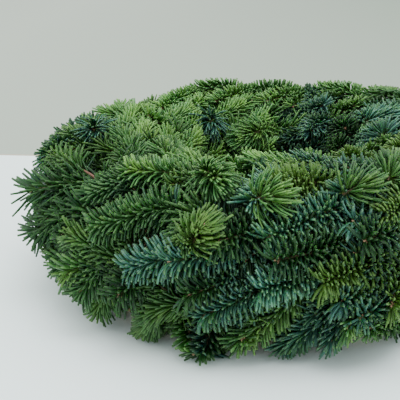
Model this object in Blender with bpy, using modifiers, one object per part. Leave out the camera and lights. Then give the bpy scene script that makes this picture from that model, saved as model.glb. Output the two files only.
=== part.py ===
"""Advent wreath of noble fir, lying flat on a table.

Metres, +Z up. The origin is the middle of the hole, on the table. The front of the wreath is
towards -Y, and its sprigs lie clockwise, seen from above, with their tips fanned outward.
Angles round the wreath are counted from +X towards +Y. Angles round its thickness are counted
from outward (0), over the top (90), to the hole (180).
"""
import math

import bmesh
import bpy
import numpy as np
from mathutils import Matrix, Vector

# Outer shape of the foliage: a fat ring whose section is a rounded square
OUTER_R = 0.250
MOUND_HALF_WIDTH = 0.095
MOUND_HALF_HEIGHT = 0.079
MOUND_POWER = 2.2
MOUND_R = OUTER_R - MOUND_HALF_WIDTH

# Straw ring: a round back on a flat underside
STRAW_TUBE_R = 0.036
STRAW_MIDDLE_Z = 0.028
STRAW_BACK_POINTS = 12
STRAW_STEPS = 40

# Binding wire, which crosses the underside in shallow notches
TURNS = 18
TURN_DEG = 360 / TURNS
WIRE_R = 0.0005
WIRE_UNDER_Z = 0.0011
WIRE_UNDER_HALF = 0.0245
WIRE_LOW_DEG = -36
WIRE_HIGH_DEG = 216
WIRE_POINTS = 9
WIRE_AROUND_R = STRAW_TUBE_R + 0.0074
WIRE_OUT = WIRE_AROUND_R + WIRE_R
NOTCH_WIDTH = 0.0024
NOTCH_DEPTH = 0.0026
NOTCH_LENGTH = 0.060

# Touching pieces keep this gap
GAP = 0.0003
MERGE = 1e-6

# Stems and their slim cores
STEM_R = 0.0021
STEM_CLEAR = 0.0006
CORE_R = 0.0042
CUT_END = 0.011
STEM_SPREAD_DEG = 2.4
CORE_SHARES = (0, 1 / 3, 2 / 3, 1)
CORE_RADII = (STEM_R, STEM_R, CORE_R, 0.0012)
CORE_GAP = 0.0008
EASE_ROUNDS = 120
EASE_STEP = 0.6
TIP_REACH = 0.83
MIDDLE_SHARE = 0.52
RISE_POWER = 0.75

# Needles: three-sided and pointed, sunk to the middle of their core
NEEDLE_LENGTH = 0.028
NEEDLE_R = 0.00105
GOLDEN_DEG = 137.5
FIRST_NEEDLE = 0.34
LAST_NEEDLE = 0.96
OPEN_DEG = 52
TIP_OPEN_DEG = 22
TRIES_DEG = [(bend, swing) for bend in (0, 12, 24, 34) for swing in (0, 22, -22, 44, -44)]
NEEDLE_REACH = 1.02
NEEDLE_CLEAR = 0.0024
NEEDLE_TEST_SHARES = np.linspace(0.3, 1, 5)
TABLE_CLEAR = 0.0022

# Bunches of one turn: the leg of the wire that ties them, their rows of tips on even and odd
# turns in degrees, the length of a sprig and the needles on it
BUNCHES = {
    "outer": {"leg": 1, "rows": ((-50, -14, 22), (-32, 4, 40)), "length": 0.125, "needles": 9},
    "top": {"leg": 3, "rows": ((58, 94), (76, 112)), "length": 0.112, "needles": 8},
    "inner": {"leg": 5, "rows": ((130, 168), (149, 190)), "length": 0.078, "needles": 6},
}

# Where the photograph was taken from, in a frame of 400 by 400 pixels
EYE = np.array([0.0, -0.798, 0.329])
EYE_YAW_DEG = -4.8
EYE_PITCH_DEG = 18.2
EYE_FOCAL_PX = 818
FRAME_MIDDLE_PX = 200

# Shoots that stand out in the photograph: the pixel of the bud, and of the stem's far end
SEEN_SHOOTS = {
    "left end, upper": ((48, 147), (85, 142)),
    "left end, middle": ((31, 190), (75, 184)),
    "left end, lower": ((36, 231), (97, 212)),
    "blue fan": ((95, 127), (112, 119)),
    "upper left": ((72, 128), (98, 123)),
    "bare reddish stem": ((58, 158), (104, 184)),
    "comb under the bare stem": ((100, 190), (160, 180)),
    "long pale comb": ((128, 163), (205, 152)),
    "left skyline": ((108, 106), (150, 100)),
    "dark comb": ((100, 225), (188, 212)),
    "up-swept tuft": ((186, 237), (215, 215)),
    "low dark": ((60, 265), (95, 262)),
    "hanging comb": ((99, 308), (121, 264)),
    "low left": ((82, 290), (105, 262)),
    "low green": ((148, 328), (182, 300)),
    "blue comb in front": ((133, 267), (215, 254)),
    "lowest open shoot": ((193, 352), (188, 320)),
    "pompom over the hole": ((212, 122), (205, 100)),
    "thin tuft": ((246, 138), (270, 132)),
    "hanging far shoot": ((310, 128), (311, 100)),
    "right blue shoot": ((378, 130), (420, 122)),
    "right blue shoot above": ((362, 112), (410, 112)),
    "right edge tuft": ((398, 150), (420, 145)),
    "middle blue rows": ((352, 160), (395, 150)),
    "yellow comb": ((293, 170), (340, 140)),
    "comb on the near rim": ((262, 152), (320, 146)),
    "rosette": ((254, 199), (285, 193)),
    "rosette with a red bud": ((206, 169), (245, 172)),
    "right rosette": ((345, 193), (390, 182)),
    "right edge, upper": ((394, 178), (410, 165)),
    "olive shoot": ((389, 213), (420, 210)),
    "fan rosette": ((360, 219), (395, 235)),
    "big blue comb": ((270, 237), (350, 212)),
    "comb with a pink bud": ((266, 288), (330, 272)),
    "low yellow comb": ((328, 281), (395, 257)),
    "blue shoot under it": ((345, 300), (390, 285)),
    "low right": ((332, 338), (352, 306)),
    "flat fan": ((286, 344), (312, 312)),
    "low yellow": ((242, 340), (285, 305)),
    "low blue comb": ((206, 315), (270, 285)),
    "skyline, first": ((185, 88), (225, 88)),
    "skyline, second": ((248, 86), (285, 92)),
    "skyline, third": ((312, 86), (350, 92)),
    "skyline, fourth": ((365, 92), (400, 95)),
}
SEEN_TIP_REACH = 0.86
SEEN_STEM_REACH = 0.66
SEEN_NEAR = 0.090
SIGHT_FROM = 0.35
SIGHT_TO = 1.25
SIGHT_STEPS = 1801

# How far sprigs stray from the rule, with one seed for all the draws
SEED = 24
ROW_STRAY_DEG = 5
REACH_STRAY = (-0.05, 0.04)
LENGTH_STRAY = (0.9, 1.1)


def round_power(value, power):
    """Sine or cosine raised to 2/power with its sign kept, for a rounded square."""
    return np.sign(value) * np.abs(value) ** (2 / power)


def turned(section, ring_deg):
    """Sections (distance from the wreath's axis, height) turned to an angle round it."""
    ring = np.radians(ring_deg)
    out, up = section[..., 0], section[..., 1]
    return np.stack([out * np.cos(ring), out * np.sin(ring), up + 0 * ring], axis=-1)


def mound_section(row_deg, reach):
    """Point of the foliage's section: reach is 0 at its middle and 1 at its skin."""
    row = math.radians(row_deg)
    out = MOUND_R + reach * MOUND_HALF_WIDTH * round_power(math.cos(row), MOUND_POWER)
    up = MOUND_HALF_HEIGHT * (1 + reach * round_power(math.sin(row), MOUND_POWER))
    return np.array([out, up])


def straw_section(around_deg, radius):
    """Point at a radius from the middle of the straw ring's tube."""
    around = np.radians(around_deg)
    return np.stack([MOUND_R + radius * np.cos(around), STRAW_MIDDLE_Z + radius * np.sin(around)], -1)


def reach_of(points):
    """How far out points lie in the foliage: 0 at its middle line and 1 at its skin."""
    out = np.abs(np.hypot(points[..., 0], points[..., 1]) - MOUND_R) / MOUND_HALF_WIDTH
    up = np.abs(points[..., 2] - MOUND_HALF_HEIGHT) / MOUND_HALF_HEIGHT
    return (out**MOUND_POWER + up**MOUND_POWER) ** (1 / MOUND_POWER)


def seen_at(pixel, reach):
    """First point at that reach on the sight line through a pixel, or else the nearest to it."""
    yaw, pitch = math.radians(EYE_YAW_DEG), math.radians(EYE_PITCH_DEG)
    right = np.array([math.cos(yaw), -math.sin(yaw), 0])
    ahead = np.array([math.sin(yaw) * math.cos(pitch), math.cos(yaw) * math.cos(pitch), -math.sin(pitch)])
    above = np.cross(right, ahead)
    across = (pixel[0] - FRAME_MIDDLE_PX) / EYE_FOCAL_PX
    down = (pixel[1] - FRAME_MIDDLE_PX) / EYE_FOCAL_PX
    steps = np.linspace(SIGHT_FROM, SIGHT_TO, SIGHT_STEPS)[:, None]
    line = EYE + steps * (ahead + across * right - down * above)
    depth = reach_of(line)
    inside = np.flatnonzero(depth < reach)
    return line[inside[0]] if len(inside) else line[depth.argmin()]


def wire_deg(turn, leg):
    """Angles round the tube and round the wreath of a place on the wire, counted in legs."""
    share = leg / (WIRE_POINTS - 1)
    return WIRE_LOW_DEG + share * (WIRE_HIGH_DEG - WIRE_LOW_DEG), TURN_DEG * (turn + share)


def plan_sprig(turn, bunch, place, rng):
    """Cut end, tie, middle and tip of one sprig."""
    rule = BUNCHES[bunch]
    row = rule["rows"][turn % 2][place] + rng.uniform(-ROW_STRAY_DEG, ROW_STRAY_DEG)
    reach = TIP_REACH + rng.uniform(*REACH_STRAY)
    length = rule["length"] * rng.uniform(*LENGTH_STRAY)
    around, tied = wire_deg(turn, rule["leg"] + 0.5)
    spread = STEM_SPREAD_DEG * (place - (len(rule["rows"][0]) - 1) / 2)
    on_straw = straw_section(around + spread, STRAW_TUBE_R + STEM_R + STEM_CLEAR)
    on_skin = mound_section(row, reach)
    per_metre = math.degrees(1 / (0.5 * (on_straw[0] + on_skin[0])))
    stem_step = math.degrees(CUT_END / on_straw[0])
    middle = on_straw + (on_skin - on_straw) * MIDDLE_SHARE**RISE_POWER
    points = [turned(on_straw, tied + stem_step), turned(on_straw, tied - stem_step)]
    points.append(turned(middle, tied - length * per_metre * MIDDLE_SHARE))
    points.append(turned(on_skin, tied - length * per_metre))
    return np.array(points)


def plan_sprigs():
    """Every sprig by its bunch's name, with the seen ones in the place of their nearest."""
    rng = np.random.default_rng(SEED)
    keys, paths = [], []
    for turn in range(TURNS):
        for bunch, rule in BUNCHES.items():
            for place in range(len(rule["rows"][0])):
                keys.append(f"sprigs_{turn + 1:02d}_{bunch}")
                paths.append(plan_sprig(turn, bunch, place, rng))
    paths = np.array(paths)
    free = np.ones(len(paths), bool)
    for bud, stem in SEEN_SHOOTS.values():
        tip, middle = seen_at(bud, SEEN_TIP_REACH), seen_at(stem, SEEN_STEM_REACH)
        far = np.linalg.norm(paths[:, 3] - tip, axis=1) + np.linalg.norm(paths[:, 2] - middle, axis=1)
        far[~free] = np.inf
        nearest = far.argmin()
        if far[nearest] < SEEN_NEAR:
            paths[nearest, 2:] = middle, tip
            free[nearest] = False
    return keys, paths


def closest(a, b, c, d):
    """Shares along the segments a-b and c-d of their nearest points, and the vector between them."""
    u, v, w = b - a, d - c, a - c
    uu, uv, vv = (u * u).sum(-1), (u * v).sum(-1), (v * v).sum(-1)
    uw, vw = (u * w).sum(-1), (v * w).sum(-1)
    slope = np.maximum(uu * vv - uv * uv, 1e-18)
    s = np.clip((uv * vw - vv * uw) / slope, 0, 1)
    t = np.clip((uv * s + vw) / vv, 0, 1)
    s = np.clip((uv * t - uw) / uu, 0, 1)
    between = (a + s[..., None] * u) - (c + t[..., None] * v)
    return s, t, between


def core_radius(share):
    """Radius of a core along the path: stem, widest where the needles begin, then the bud."""
    return np.interp(share, CORE_SHARES, CORE_RADII)


def off_straw(points):
    """Distance of points from the middle line of the straw ring's tube."""
    out = np.hypot(points[..., 0], points[..., 1]) - MOUND_R
    return np.hypot(out, points[..., 2] - STRAW_MIDDLE_Z)


def push_off_straw(paths):
    """Move middles and tips outward until their cores clear the straw ring and its wire."""
    for first, moved, shares in ((1, 2, (0.5, 0.75, 1.0)), (2, 3, (0.5, 1.0))):
        for share in shares:
            at = paths[:, first] * (1 - share) + paths[:, moved] * share
            need = WIRE_OUT + core_radius((first + share) / 3) + 2 * GAP
            short = np.maximum(need - off_straw(at), 0)
            ring = np.arctan2(at[:, 1], at[:, 0])
            out = np.hypot(at[:, 0], at[:, 1]) - MOUND_R
            up = at[:, 2] - STRAW_MIDDLE_Z
            away = np.stack([out * np.cos(ring), out * np.sin(ring), up], -1)
            away /= np.linalg.norm(away, axis=1)[:, None]
            paths[:, moved] += away * (short / share)[:, None]
    low = TABLE_CLEAR + core_radius(np.array([2, 3]) / 3)
    paths[:, 2:, 2] = np.maximum(paths[:, 2:, 2], low)


def ease_apart(keys, paths):
    """Move the sprigs' middles and tips until no core touches one of another bunch."""
    sprig = np.repeat(np.arange(len(paths)), 3)
    leg = np.tile(np.arange(3), len(paths))
    names = np.array(keys)[sprig]
    one, two = np.triu_indices(len(sprig), 1)
    apart = names[one] != names[two]
    one, two = one[apart], two[apart]
    for _ in range(EASE_ROUNDS):
        start, end = paths[sprig, leg], paths[sprig, leg + 1]
        s, t, between = closest(start[one], end[one], start[two], end[two])
        gap = np.linalg.norm(between, axis=1)
        need = core_radius((leg[one] + s) / 3) + core_radius((leg[two] + t) / 3) + CORE_GAP
        touching = np.flatnonzero(gap < need - 1e-6)
        for pair in touching:
            push = between[pair] / max(gap[pair], 1e-9) * (need[pair] - gap[pair]) * EASE_STEP
            for index, share, sign in ((one[pair], s[pair], 1), (two[pair], t[pair], -1)):
                for point, weight in ((leg[index], 1 - share), (leg[index] + 1, share)):
                    if point >= 2:
                        paths[sprig[index], point] += sign * weight * push
        push_off_straw(paths)
        if len(touching) == 0:
            break
    print(f"cores that still touch another bunch: {len(touching)}")


def leg_vectors(start, end):
    """Unit vectors along a leg, out of the foliage across it, and sideways across it."""
    axis = (end - start) / np.linalg.norm(end - start)
    ring = math.degrees(math.atan2(end[1], end[0]))
    outward = end - turned(np.array([MOUND_R, MOUND_HALF_HEIGHT]), ring)
    outward = outward - axis * (outward @ axis)
    outward = outward / np.linalg.norm(outward)
    return axis, outward, np.cross(axis, outward)


def clear_needle(root, tip, own, cores, needles):
    """Whether a needle stays inside the foliage, off the straw, the table and other bunches."""
    along = root + (tip - root) * NEEDLE_TEST_SHARES[:, None]
    if along[:, 2].min() < TABLE_CLEAR or off_straw(along).min() < WIRE_OUT + NEEDLE_R + GAP:
        return False
    if reach_of(tip) > NEEDLE_REACH or np.hypot(*tip[:2]) > OUTER_R:
        return False
    other = cores["name"] != own
    _, t, between = closest(root, tip, cores["start"][other], cores["end"][other])
    radius = core_radius((cores["leg"][other] + t) / 3)
    if (np.linalg.norm(between, axis=1) < radius + NEEDLE_R + GAP).any():
        return False
    if needles["name"]:
        other = np.array(needles["name"]) != own
        start, end = np.array(needles["start"])[other], np.array(needles["end"])[other]
        _, _, between = closest(root, tip, start, end)
        if (np.linalg.norm(between, axis=1) < NEEDLE_CLEAR).any():
            return False
    return True


def plan_needles(keys, paths):
    """Root and tip of every needle by bunch, each bent forward or sideways until it is clear."""
    legs = [(key, leg, path[leg], path[leg + 1]) for key, path in zip(keys, paths) for leg in range(3)]
    cores = {"name": np.array([leg[0] for leg in legs]), "leg": np.array([leg[1] for leg in legs])}
    cores["start"] = np.array([leg[2] for leg in legs])
    cores["end"] = np.array([leg[3] for leg in legs])
    needles = {"name": [], "start": [], "end": []}
    dropped = 0
    for key, path in zip(keys, paths):
        count = BUNCHES[key.split("_")[2]]["needles"]
        for number in range(count):
            share = FIRST_NEEDLE + (LAST_NEEDLE - FIRST_NEEDLE) * (number + 0.5) / count
            knot = 1 + 2 * share
            leg = int(knot)
            axis, outward, across = leg_vectors(path[leg], path[leg + 1])
            root = path[leg] + (knot - leg) * (path[leg + 1] - path[leg])
            lean = OPEN_DEG + (TIP_OPEN_DEG - OPEN_DEG) * share**3
            for bend, swing in TRIES_DEG:
                turn = math.radians(GOLDEN_DEG * number + swing)
                open_by = math.radians(lean - bend)
                side = outward * math.cos(turn) + across * math.sin(turn)
                tip = root + NEEDLE_LENGTH * (axis * math.cos(open_by) + side * math.sin(open_by))
                if clear_needle(root, tip, key, cores, needles):
                    needles["name"].append(key)
                    needles["start"].append(root)
                    needles["end"].append(tip)
                    break
            else:
                dropped += 1
    print(f"needles placed: {len(needles['name'])}, dropped: {dropped}")
    return needles


def material(name, colour, roughness, metallic=0.0):
    """A Principled material of one colour."""
    finish = bpy.data.materials.new(name)
    finish.use_nodes = True
    shader = finish.node_tree.nodes["Principled BSDF"]
    shader.inputs["Base Color"].default_value = (*colour, 1)
    shader.inputs["Roughness"].default_value = roughness
    shader.inputs["Metallic"].default_value = metallic
    return finish


def mesh_object(name, mesh, collection, finish=None):
    """A new object for a mesh, in a collection."""
    piece = bpy.data.objects.new(name, mesh)
    collection.objects.link(piece)
    if finish:
        mesh.materials.clear()
        mesh.materials.append(finish)
    return piece


def evaluated_mesh(piece):
    """The mesh of an object with its curve bevel or modifiers applied."""
    bpy.context.view_layer.update()
    depsgraph = bpy.context.evaluated_depsgraph_get()
    return bpy.data.meshes.new_from_object(piece.evaluated_get(depsgraph))


def poly_tube(name, points, radii, resolution, collection):
    """A closed mesh of a round tube along straight legs, from a bevelled curve."""
    curve = bpy.data.curves.new(name, "CURVE")
    curve.dimensions = "3D"
    curve.bevel_depth = 1.0
    curve.bevel_resolution = resolution
    curve.use_fill_caps = True
    spline = curve.splines.new("POLY")
    spline.points.add(len(points) - 1)
    for knot, point, radius in zip(spline.points, points, radii):
        knot.co = (*point, 1)
        knot.radius = radius
    guide = mesh_object(name + "_curve", curve, collection)
    mesh = evaluated_mesh(guide)
    bpy.data.objects.remove(guide)
    bpy.data.curves.remove(curve)
    welded = bmesh.new()
    welded.from_mesh(mesh)
    bmesh.ops.remove_doubles(welded, verts=welded.verts, dist=MERGE)
    bmesh.ops.recalc_face_normals(welded, faces=welded.faces)
    welded.to_mesh(mesh)
    welded.free()
    mesh.name = name
    return mesh


def needle_mesh():
    """One needle along +Z from its root at the origin: a three-sided cone."""
    shape = bmesh.new()
    bmesh.ops.create_cone(
        shape, cap_ends=True, cap_tris=True, segments=3, radius1=NEEDLE_R, radius2=0, depth=NEEDLE_LENGTH
    )
    bmesh.ops.translate(shape, verts=shape.verts, vec=(0, 0, NEEDLE_LENGTH / 2))
    bmesh.ops.remove_doubles(shape, verts=shape.verts, dist=MERGE)
    mesh = bpy.data.meshes.new("needle")
    shape.to_mesh(mesh)
    shape.free()
    return mesh


def keep_outer_shell(mesh):
    """Fill hollows that a union has sealed, and drop scraps: only the largest shell stays."""
    shape = bmesh.new()
    shape.from_mesh(mesh)
    left, shells = set(shape.faces), []
    while left:
        shell, edge = set(), [left.pop()]
        while edge:
            face = edge.pop()
            shell.add(face)
            sides = [side for side in face.edges if len(side.link_faces) == 2]
            near = {other for side in sides for other in side.link_faces} & left
            left -= near
            edge.extend(near)
        shells.append(shell)
    shells.sort(key=len)
    for shell in shells[:-1]:
        print(f"{mesh.name}: a shell of {len(shell)} faces is left out")
        bmesh.ops.delete(shape, geom=list(shell), context="FACES")
    shape.to_mesh(mesh)
    shape.free()


def build_bunch(name, paths, roots, tips, finish, parts):
    """One bunch: the cores and needles of its sprigs, joined by one Boolean union."""
    scraps = bpy.data.collections.new(name + "_pieces")
    bpy.context.scene.collection.children.link(scraps)
    radii = core_radius(np.arange(4) / 3)
    cores = [poly_tube(f"{name}_core_{number}", path, radii, 0, scraps) for number, path in enumerate(paths)]
    bunch = mesh_object(name, cores[0], parts, finish)
    for core in cores[1:]:
        mesh_object(core.name, core, scraps)
    for root, tip in zip(roots, tips):
        needle = mesh_object(name + "_needle", NEEDLE, scraps)
        aim = Vector(tip - root).to_track_quat("Z", "Y")
        needle.matrix_world = Matrix.Translation(root) @ aim.to_matrix().to_4x4()
    union = bunch.modifiers.new("Join", "BOOLEAN")
    union.operation = "UNION"
    union.operand_type = "COLLECTION"
    union.collection = scraps
    joined = evaluated_mesh(bunch)
    bunch.modifiers.remove(union)
    joined.name = name
    keep_outer_shell(joined)
    bunch.data = joined
    joined.materials.clear()
    joined.materials.append(finish)
    for piece in list(scraps.objects):
        bpy.data.objects.remove(piece)
    bpy.data.collections.remove(scraps)
    return bunch


def build_straw_ring(finish, parts, cutters):
    """The straw ring: a turned profile, with a notch across the underside for each turn of wire."""
    half_flat = math.degrees(math.acos(STRAW_MIDDLE_Z / STRAW_TUBE_R))
    back = np.linspace(270 - half_flat, half_flat - 90, STRAW_BACK_POINTS)
    profile = straw_section(back, STRAW_TUBE_R)
    profile[[0, -1], 1] = 0
    points = [(out, 0, up) for out, up in profile]
    count = len(points)
    mesh = bpy.data.meshes.new("straw_ring")
    mesh.from_pydata(points, [(number, (number + 1) % count) for number in range(count)], [])
    ring = mesh_object("straw_ring", mesh, parts, finish)
    turn = ring.modifiers.new("Turn", "SCREW")
    turn.steps = turn.render_steps = STRAW_STEPS
    turn.use_merge_vertices = True
    turn.merge_threshold = MERGE
    turn.use_normal_calculate = True
    for number in range(TURNS):
        box = bmesh.new()
        bmesh.ops.create_cube(box, size=1)
        bmesh.ops.scale(box, verts=box.verts, vec=(NOTCH_LENGTH, NOTCH_WIDTH, 2 * NOTCH_DEPTH))
        notch_mesh = bpy.data.meshes.new("notch")
        box.to_mesh(notch_mesh)
        box.free()
        notch = mesh_object(f"notch_{number + 1:02d}", notch_mesh, cutters)
        at = math.radians(TURN_DEG * number)
        notch.location = (MOUND_R * math.cos(at), MOUND_R * math.sin(at), 0)
        notch.rotation_euler.z = at
        notch.hide_render = True
        notch.display_type = "WIRE"
    cut = ring.modifiers.new("Notches", "BOOLEAN")
    cut.operation = "DIFFERENCE"
    cut.operand_type = "COLLECTION"
    cut.collection = cutters
    return ring


def build_wire(finish, parts):
    """The binding wire: one coil, straight across the underside and round over the stems."""
    points = []
    under = np.array([[MOUND_R + side * WIRE_UNDER_HALF, WIRE_UNDER_Z] for side in (-1, 1)])
    for turn in range(TURNS):
        around, ring = wire_deg(turn, np.arange(WIRE_POINTS))
        points.extend(turned(under, np.full(2, TURN_DEG * turn)))
        points.extend(turned(straw_section(around, WIRE_AROUND_R), ring))
    mesh = poly_tube("binding_wire", points, [WIRE_R] * len(points), 0, parts)
    return mesh_object("binding_wire", mesh, parts, finish)


for old in list(bpy.data.objects):
    bpy.data.objects.remove(old)

NEEDLE = needle_mesh()
wreath = bpy.data.collections.new("advent_wreath")
cutters = bpy.data.collections.new("cutters")
bpy.context.scene.collection.children.link(wreath)
bpy.context.scene.collection.children.link(cutters)

straw = material("straw", (0.56, 0.42, 0.18), 0.8)
lacquer = material("green_wire", (0.05, 0.10, 0.05), 0.45, 0.6)
blue_fir = material("blue_fir", (0.05, 0.16, 0.12), 0.55)
green_fir = material("green_fir", (0.08, 0.18, 0.04), 0.55)

build_straw_ring(straw, wreath, cutters)
build_wire(lacquer, wreath)

keys, paths = plan_sprigs()
push_off_straw(paths)
ease_apart(keys, paths)
needles = plan_needles(keys, paths)
for number, name in enumerate(dict.fromkeys(keys)):
    own_paths = paths[[key == name for key in keys]]
    own = [index for index, key in enumerate(needles["name"]) if key == name]
    roots = [needles["start"][index] for index in own]
    tips = [needles["end"][index] for index in own]
    build_bunch(name, own_paths, roots, tips, (blue_fir, green_fir)[number % 2], wreath)
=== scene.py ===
# %% [markdown]
# # A table wreath of noble fir
#
# The wreath is made the way a florist makes it. Short cut sprigs are laid on a straw ring, three
# bunches at each turn of a green binding wire, and every bunch hides the stems of the one before.
# What we see is almost only needles: about fifty thousand, on shoots that run clockwise.
#
# The solid frame holds every bunch as a slim core with a few needles. This script plans the same
# shoots again, adds their side twigs, grows the needles as whole arrays of numbers, and gives each
# finish its own nodes.

# %% Load the frame
import math

import bpy
import numpy as np
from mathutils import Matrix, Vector


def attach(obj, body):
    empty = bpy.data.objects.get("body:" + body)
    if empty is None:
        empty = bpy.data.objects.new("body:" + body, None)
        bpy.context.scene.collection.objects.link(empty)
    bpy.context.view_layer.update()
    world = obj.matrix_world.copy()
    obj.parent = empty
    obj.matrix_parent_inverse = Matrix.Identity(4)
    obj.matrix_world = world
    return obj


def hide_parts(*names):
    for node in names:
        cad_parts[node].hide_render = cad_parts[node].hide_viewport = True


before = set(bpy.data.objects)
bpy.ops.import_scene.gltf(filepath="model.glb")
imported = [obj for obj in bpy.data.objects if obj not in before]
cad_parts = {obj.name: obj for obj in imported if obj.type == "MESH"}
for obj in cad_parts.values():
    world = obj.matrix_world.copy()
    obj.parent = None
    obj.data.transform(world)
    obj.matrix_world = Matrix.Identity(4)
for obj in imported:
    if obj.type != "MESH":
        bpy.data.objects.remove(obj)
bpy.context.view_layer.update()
bunch_names = sorted(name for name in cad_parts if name.startswith("sprigs_"))

# %% [markdown]
# ## The mound
#
# From afar the foliage is a fat ring with a rounded square section. Two angles place a point on
# it: one round the wreath, and one round its thickness, where 0 is outward, 90 is the top and 180
# is the side of the hole. A third number, the reach, is 0 on the middle line of the mound and 1 at
# its skin, and tells us how deep a needle lies.

# %% Sizes of the mound and of the straw ring inside it
OUTER_R = 0.250
MOUND_HALF_WIDTH = 0.095
MOUND_HALF_HEIGHT = 0.079
MOUND_POWER = 2.2
MOUND_R = OUTER_R - MOUND_HALF_WIDTH
STRAW_TUBE_R = 0.036
STRAW_MIDDLE_Z = 0.028


def round_power(value, power):
    """Sine or cosine raised to 2/power with its sign kept, for a rounded square."""
    return np.sign(value) * np.abs(value) ** (2 / power)


def unit(vectors):
    """Vectors scaled to length 1."""
    return vectors / np.maximum(np.linalg.norm(vectors, axis=-1, keepdims=True), 1e-12)


def turned(section, ring_deg):
    """Sections (distance from the wreath's axis, height) turned to an angle round it."""
    ring = np.radians(ring_deg)
    out, up = section[..., 0], section[..., 1]
    return np.stack([out * np.cos(ring), out * np.sin(ring), up + 0 * ring], axis=-1)


def mound_section(row_deg, reach):
    """Point of the foliage's section: reach is 0 at its middle and 1 at its skin."""
    row = math.radians(row_deg)
    out = MOUND_R + reach * MOUND_HALF_WIDTH * round_power(math.cos(row), MOUND_POWER)
    up = MOUND_HALF_HEIGHT * (1 + reach * round_power(math.sin(row), MOUND_POWER))
    return np.array([out, up])


def straw_section(around_deg, radius):
    """Point at a radius from the middle of the straw ring's tube."""
    around = np.radians(around_deg)
    return np.stack([MOUND_R + radius * np.cos(around), STRAW_MIDDLE_Z + radius * np.sin(around)], -1)


def reach_of(points):
    """How deep points lie: the power mean of their offsets outward and upward, each in half sizes."""
    out = np.abs(np.hypot(points[..., 0], points[..., 1]) - MOUND_R) / MOUND_HALF_WIDTH
    up = np.abs(points[..., 2] - MOUND_HALF_HEIGHT) / MOUND_HALF_HEIGHT
    return (out**MOUND_POWER + up**MOUND_POWER) ** (1 / MOUND_POWER)


def off_straw(points):
    """Distance of points from the middle line of the straw ring's tube."""
    out = np.hypot(points[..., 0], points[..., 1]) - MOUND_R
    return np.hypot(out, points[..., 2] - STRAW_MIDDLE_Z)


print(f"reach of a point on the skin: {reach_of(turned(mound_section(37, 1), 10)):.3f}")

# %% [markdown]
# ## Looking through a pixel
#
# Some shoots stand out in the photograph. Each is noted by the pixel of its bud and the pixel
# where its stem goes out of sight, in a frame of 400 by 400, with its colour and its habit. A
# sight line through a pixel meets the mound at a known depth, and that gives the shoot its true
# place in space, which holds from every side.

# %% The camera's place, and the shoots that stand out
EYE = np.array([0.0, -0.798, 0.329])
EYE_YAW_DEG = -4.8
EYE_PITCH_DEG = 18.2
EYE_FOCAL_PX = 818
FRAME_PX = 400
FRAME_MIDDLE_PX = FRAME_PX / 2

SEEN_SHOOTS = {
    "left end, upper": ((48, 147), (85, 142), "deep", "claw"),
    "left end, middle": ((31, 190), (75, 184), "deep", "claw"),
    "left end, lower": ((36, 231), (97, 212), "deep", "claw"),
    "blue fan": ((95, 127), (112, 119), "blue", "fan"),
    "upper left": ((72, 128), (98, 123), "green", "swept"),
    "bare reddish stem": ((58, 158), (104, 184), "green", "brush"),
    "comb under the bare stem": ((100, 190), (160, 180), "deep", "swept"),
    "long pale comb": ((128, 163), (205, 152), "pale green", "brush"),
    "left skyline": ((108, 106), (150, 100), "bright green", "swept"),
    "dark comb": ((100, 225), (188, 212), "deep", "brush"),
    "up-swept tuft": ((186, 237), (215, 215), "green", "swept"),
    "low dark": ((60, 265), (95, 262), "deep", "open"),
    "hanging comb": ((99, 308), (121, 264), "green", "open"),
    "low left": ((82, 290), (105, 262), "deep", "open"),
    "low green": ((148, 328), (182, 300), "green", "swept"),
    "blue comb in front": ((133, 267), (215, 254), "blue", "brush"),
    "lowest open shoot": ((193, 352), (188, 320), "pale green", "open"),
    "pompom over the hole": ((212, 122), (205, 100), "blue", "fan"),
    "thin tuft": ((246, 138), (270, 132), "bright green", "swept"),
    "hanging far shoot": ((310, 128), (311, 100), "blue", "swept"),
    "right blue shoot": ((378, 130), (420, 122), "pale blue", "swept"),
    "right blue shoot above": ((362, 112), (410, 112), "pale blue", "brush"),
    "right edge tuft": ((398, 150), (420, 145), "fresh", "open"),
    "middle blue rows": ((352, 160), (395, 150), "blue", "brush"),
    "yellow comb": ((293, 170), (340, 140), "fresh", "brush"),
    "comb on the near rim": ((262, 152), (320, 146), "bright green", "swept"),
    "rosette": ((254, 199), (285, 193), "pale green", "fan"),
    "rosette with a red bud": ((206, 169), (245, 172), "green", "fan"),
    "right rosette": ((345, 193), (390, 182), "green", "fan"),
    "right edge, upper": ((394, 178), (410, 165), "pale green", "swept"),
    "olive shoot": ((389, 213), (420, 210), "fresh", "swept"),
    "fan rosette": ((360, 219), (395, 235), "blue", "brush"),
    "big blue comb": ((270, 237), (350, 212), "pale blue", "brush"),
    "comb with a pink bud": ((266, 288), (330, 272), "pale blue", "brush"),
    "low yellow comb": ((328, 281), (395, 257), "fresh", "brush"),
    "blue shoot under it": ((345, 300), (390, 285), "blue", "brush"),
    "low right": ((332, 338), (352, 306), "blue", "swept"),
    "flat fan": ((286, 344), (312, 312), "blue", "open"),
    "low yellow": ((242, 340), (285, 305), "green", "open"),
    "low blue comb": ((206, 315), (270, 285), "blue", "brush"),
    "skyline, first": ((185, 88), (225, 88), "bright green", "open"),
    "skyline, second": ((248, 86), (285, 92), "pale green", "brush"),
    "skyline, third": ((312, 86), (350, 92), "bright green", "brush"),
    "skyline, fourth": ((365, 92), (400, 95), "pale green", "brush"),
}
SEEN_TIP_REACH = 0.86
SEEN_STEM_REACH = 0.66
SEEN_NEAR = 0.090
SIGHT_FROM = 0.35
SIGHT_TO = 1.25
SIGHT_STEPS = 1801


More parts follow.
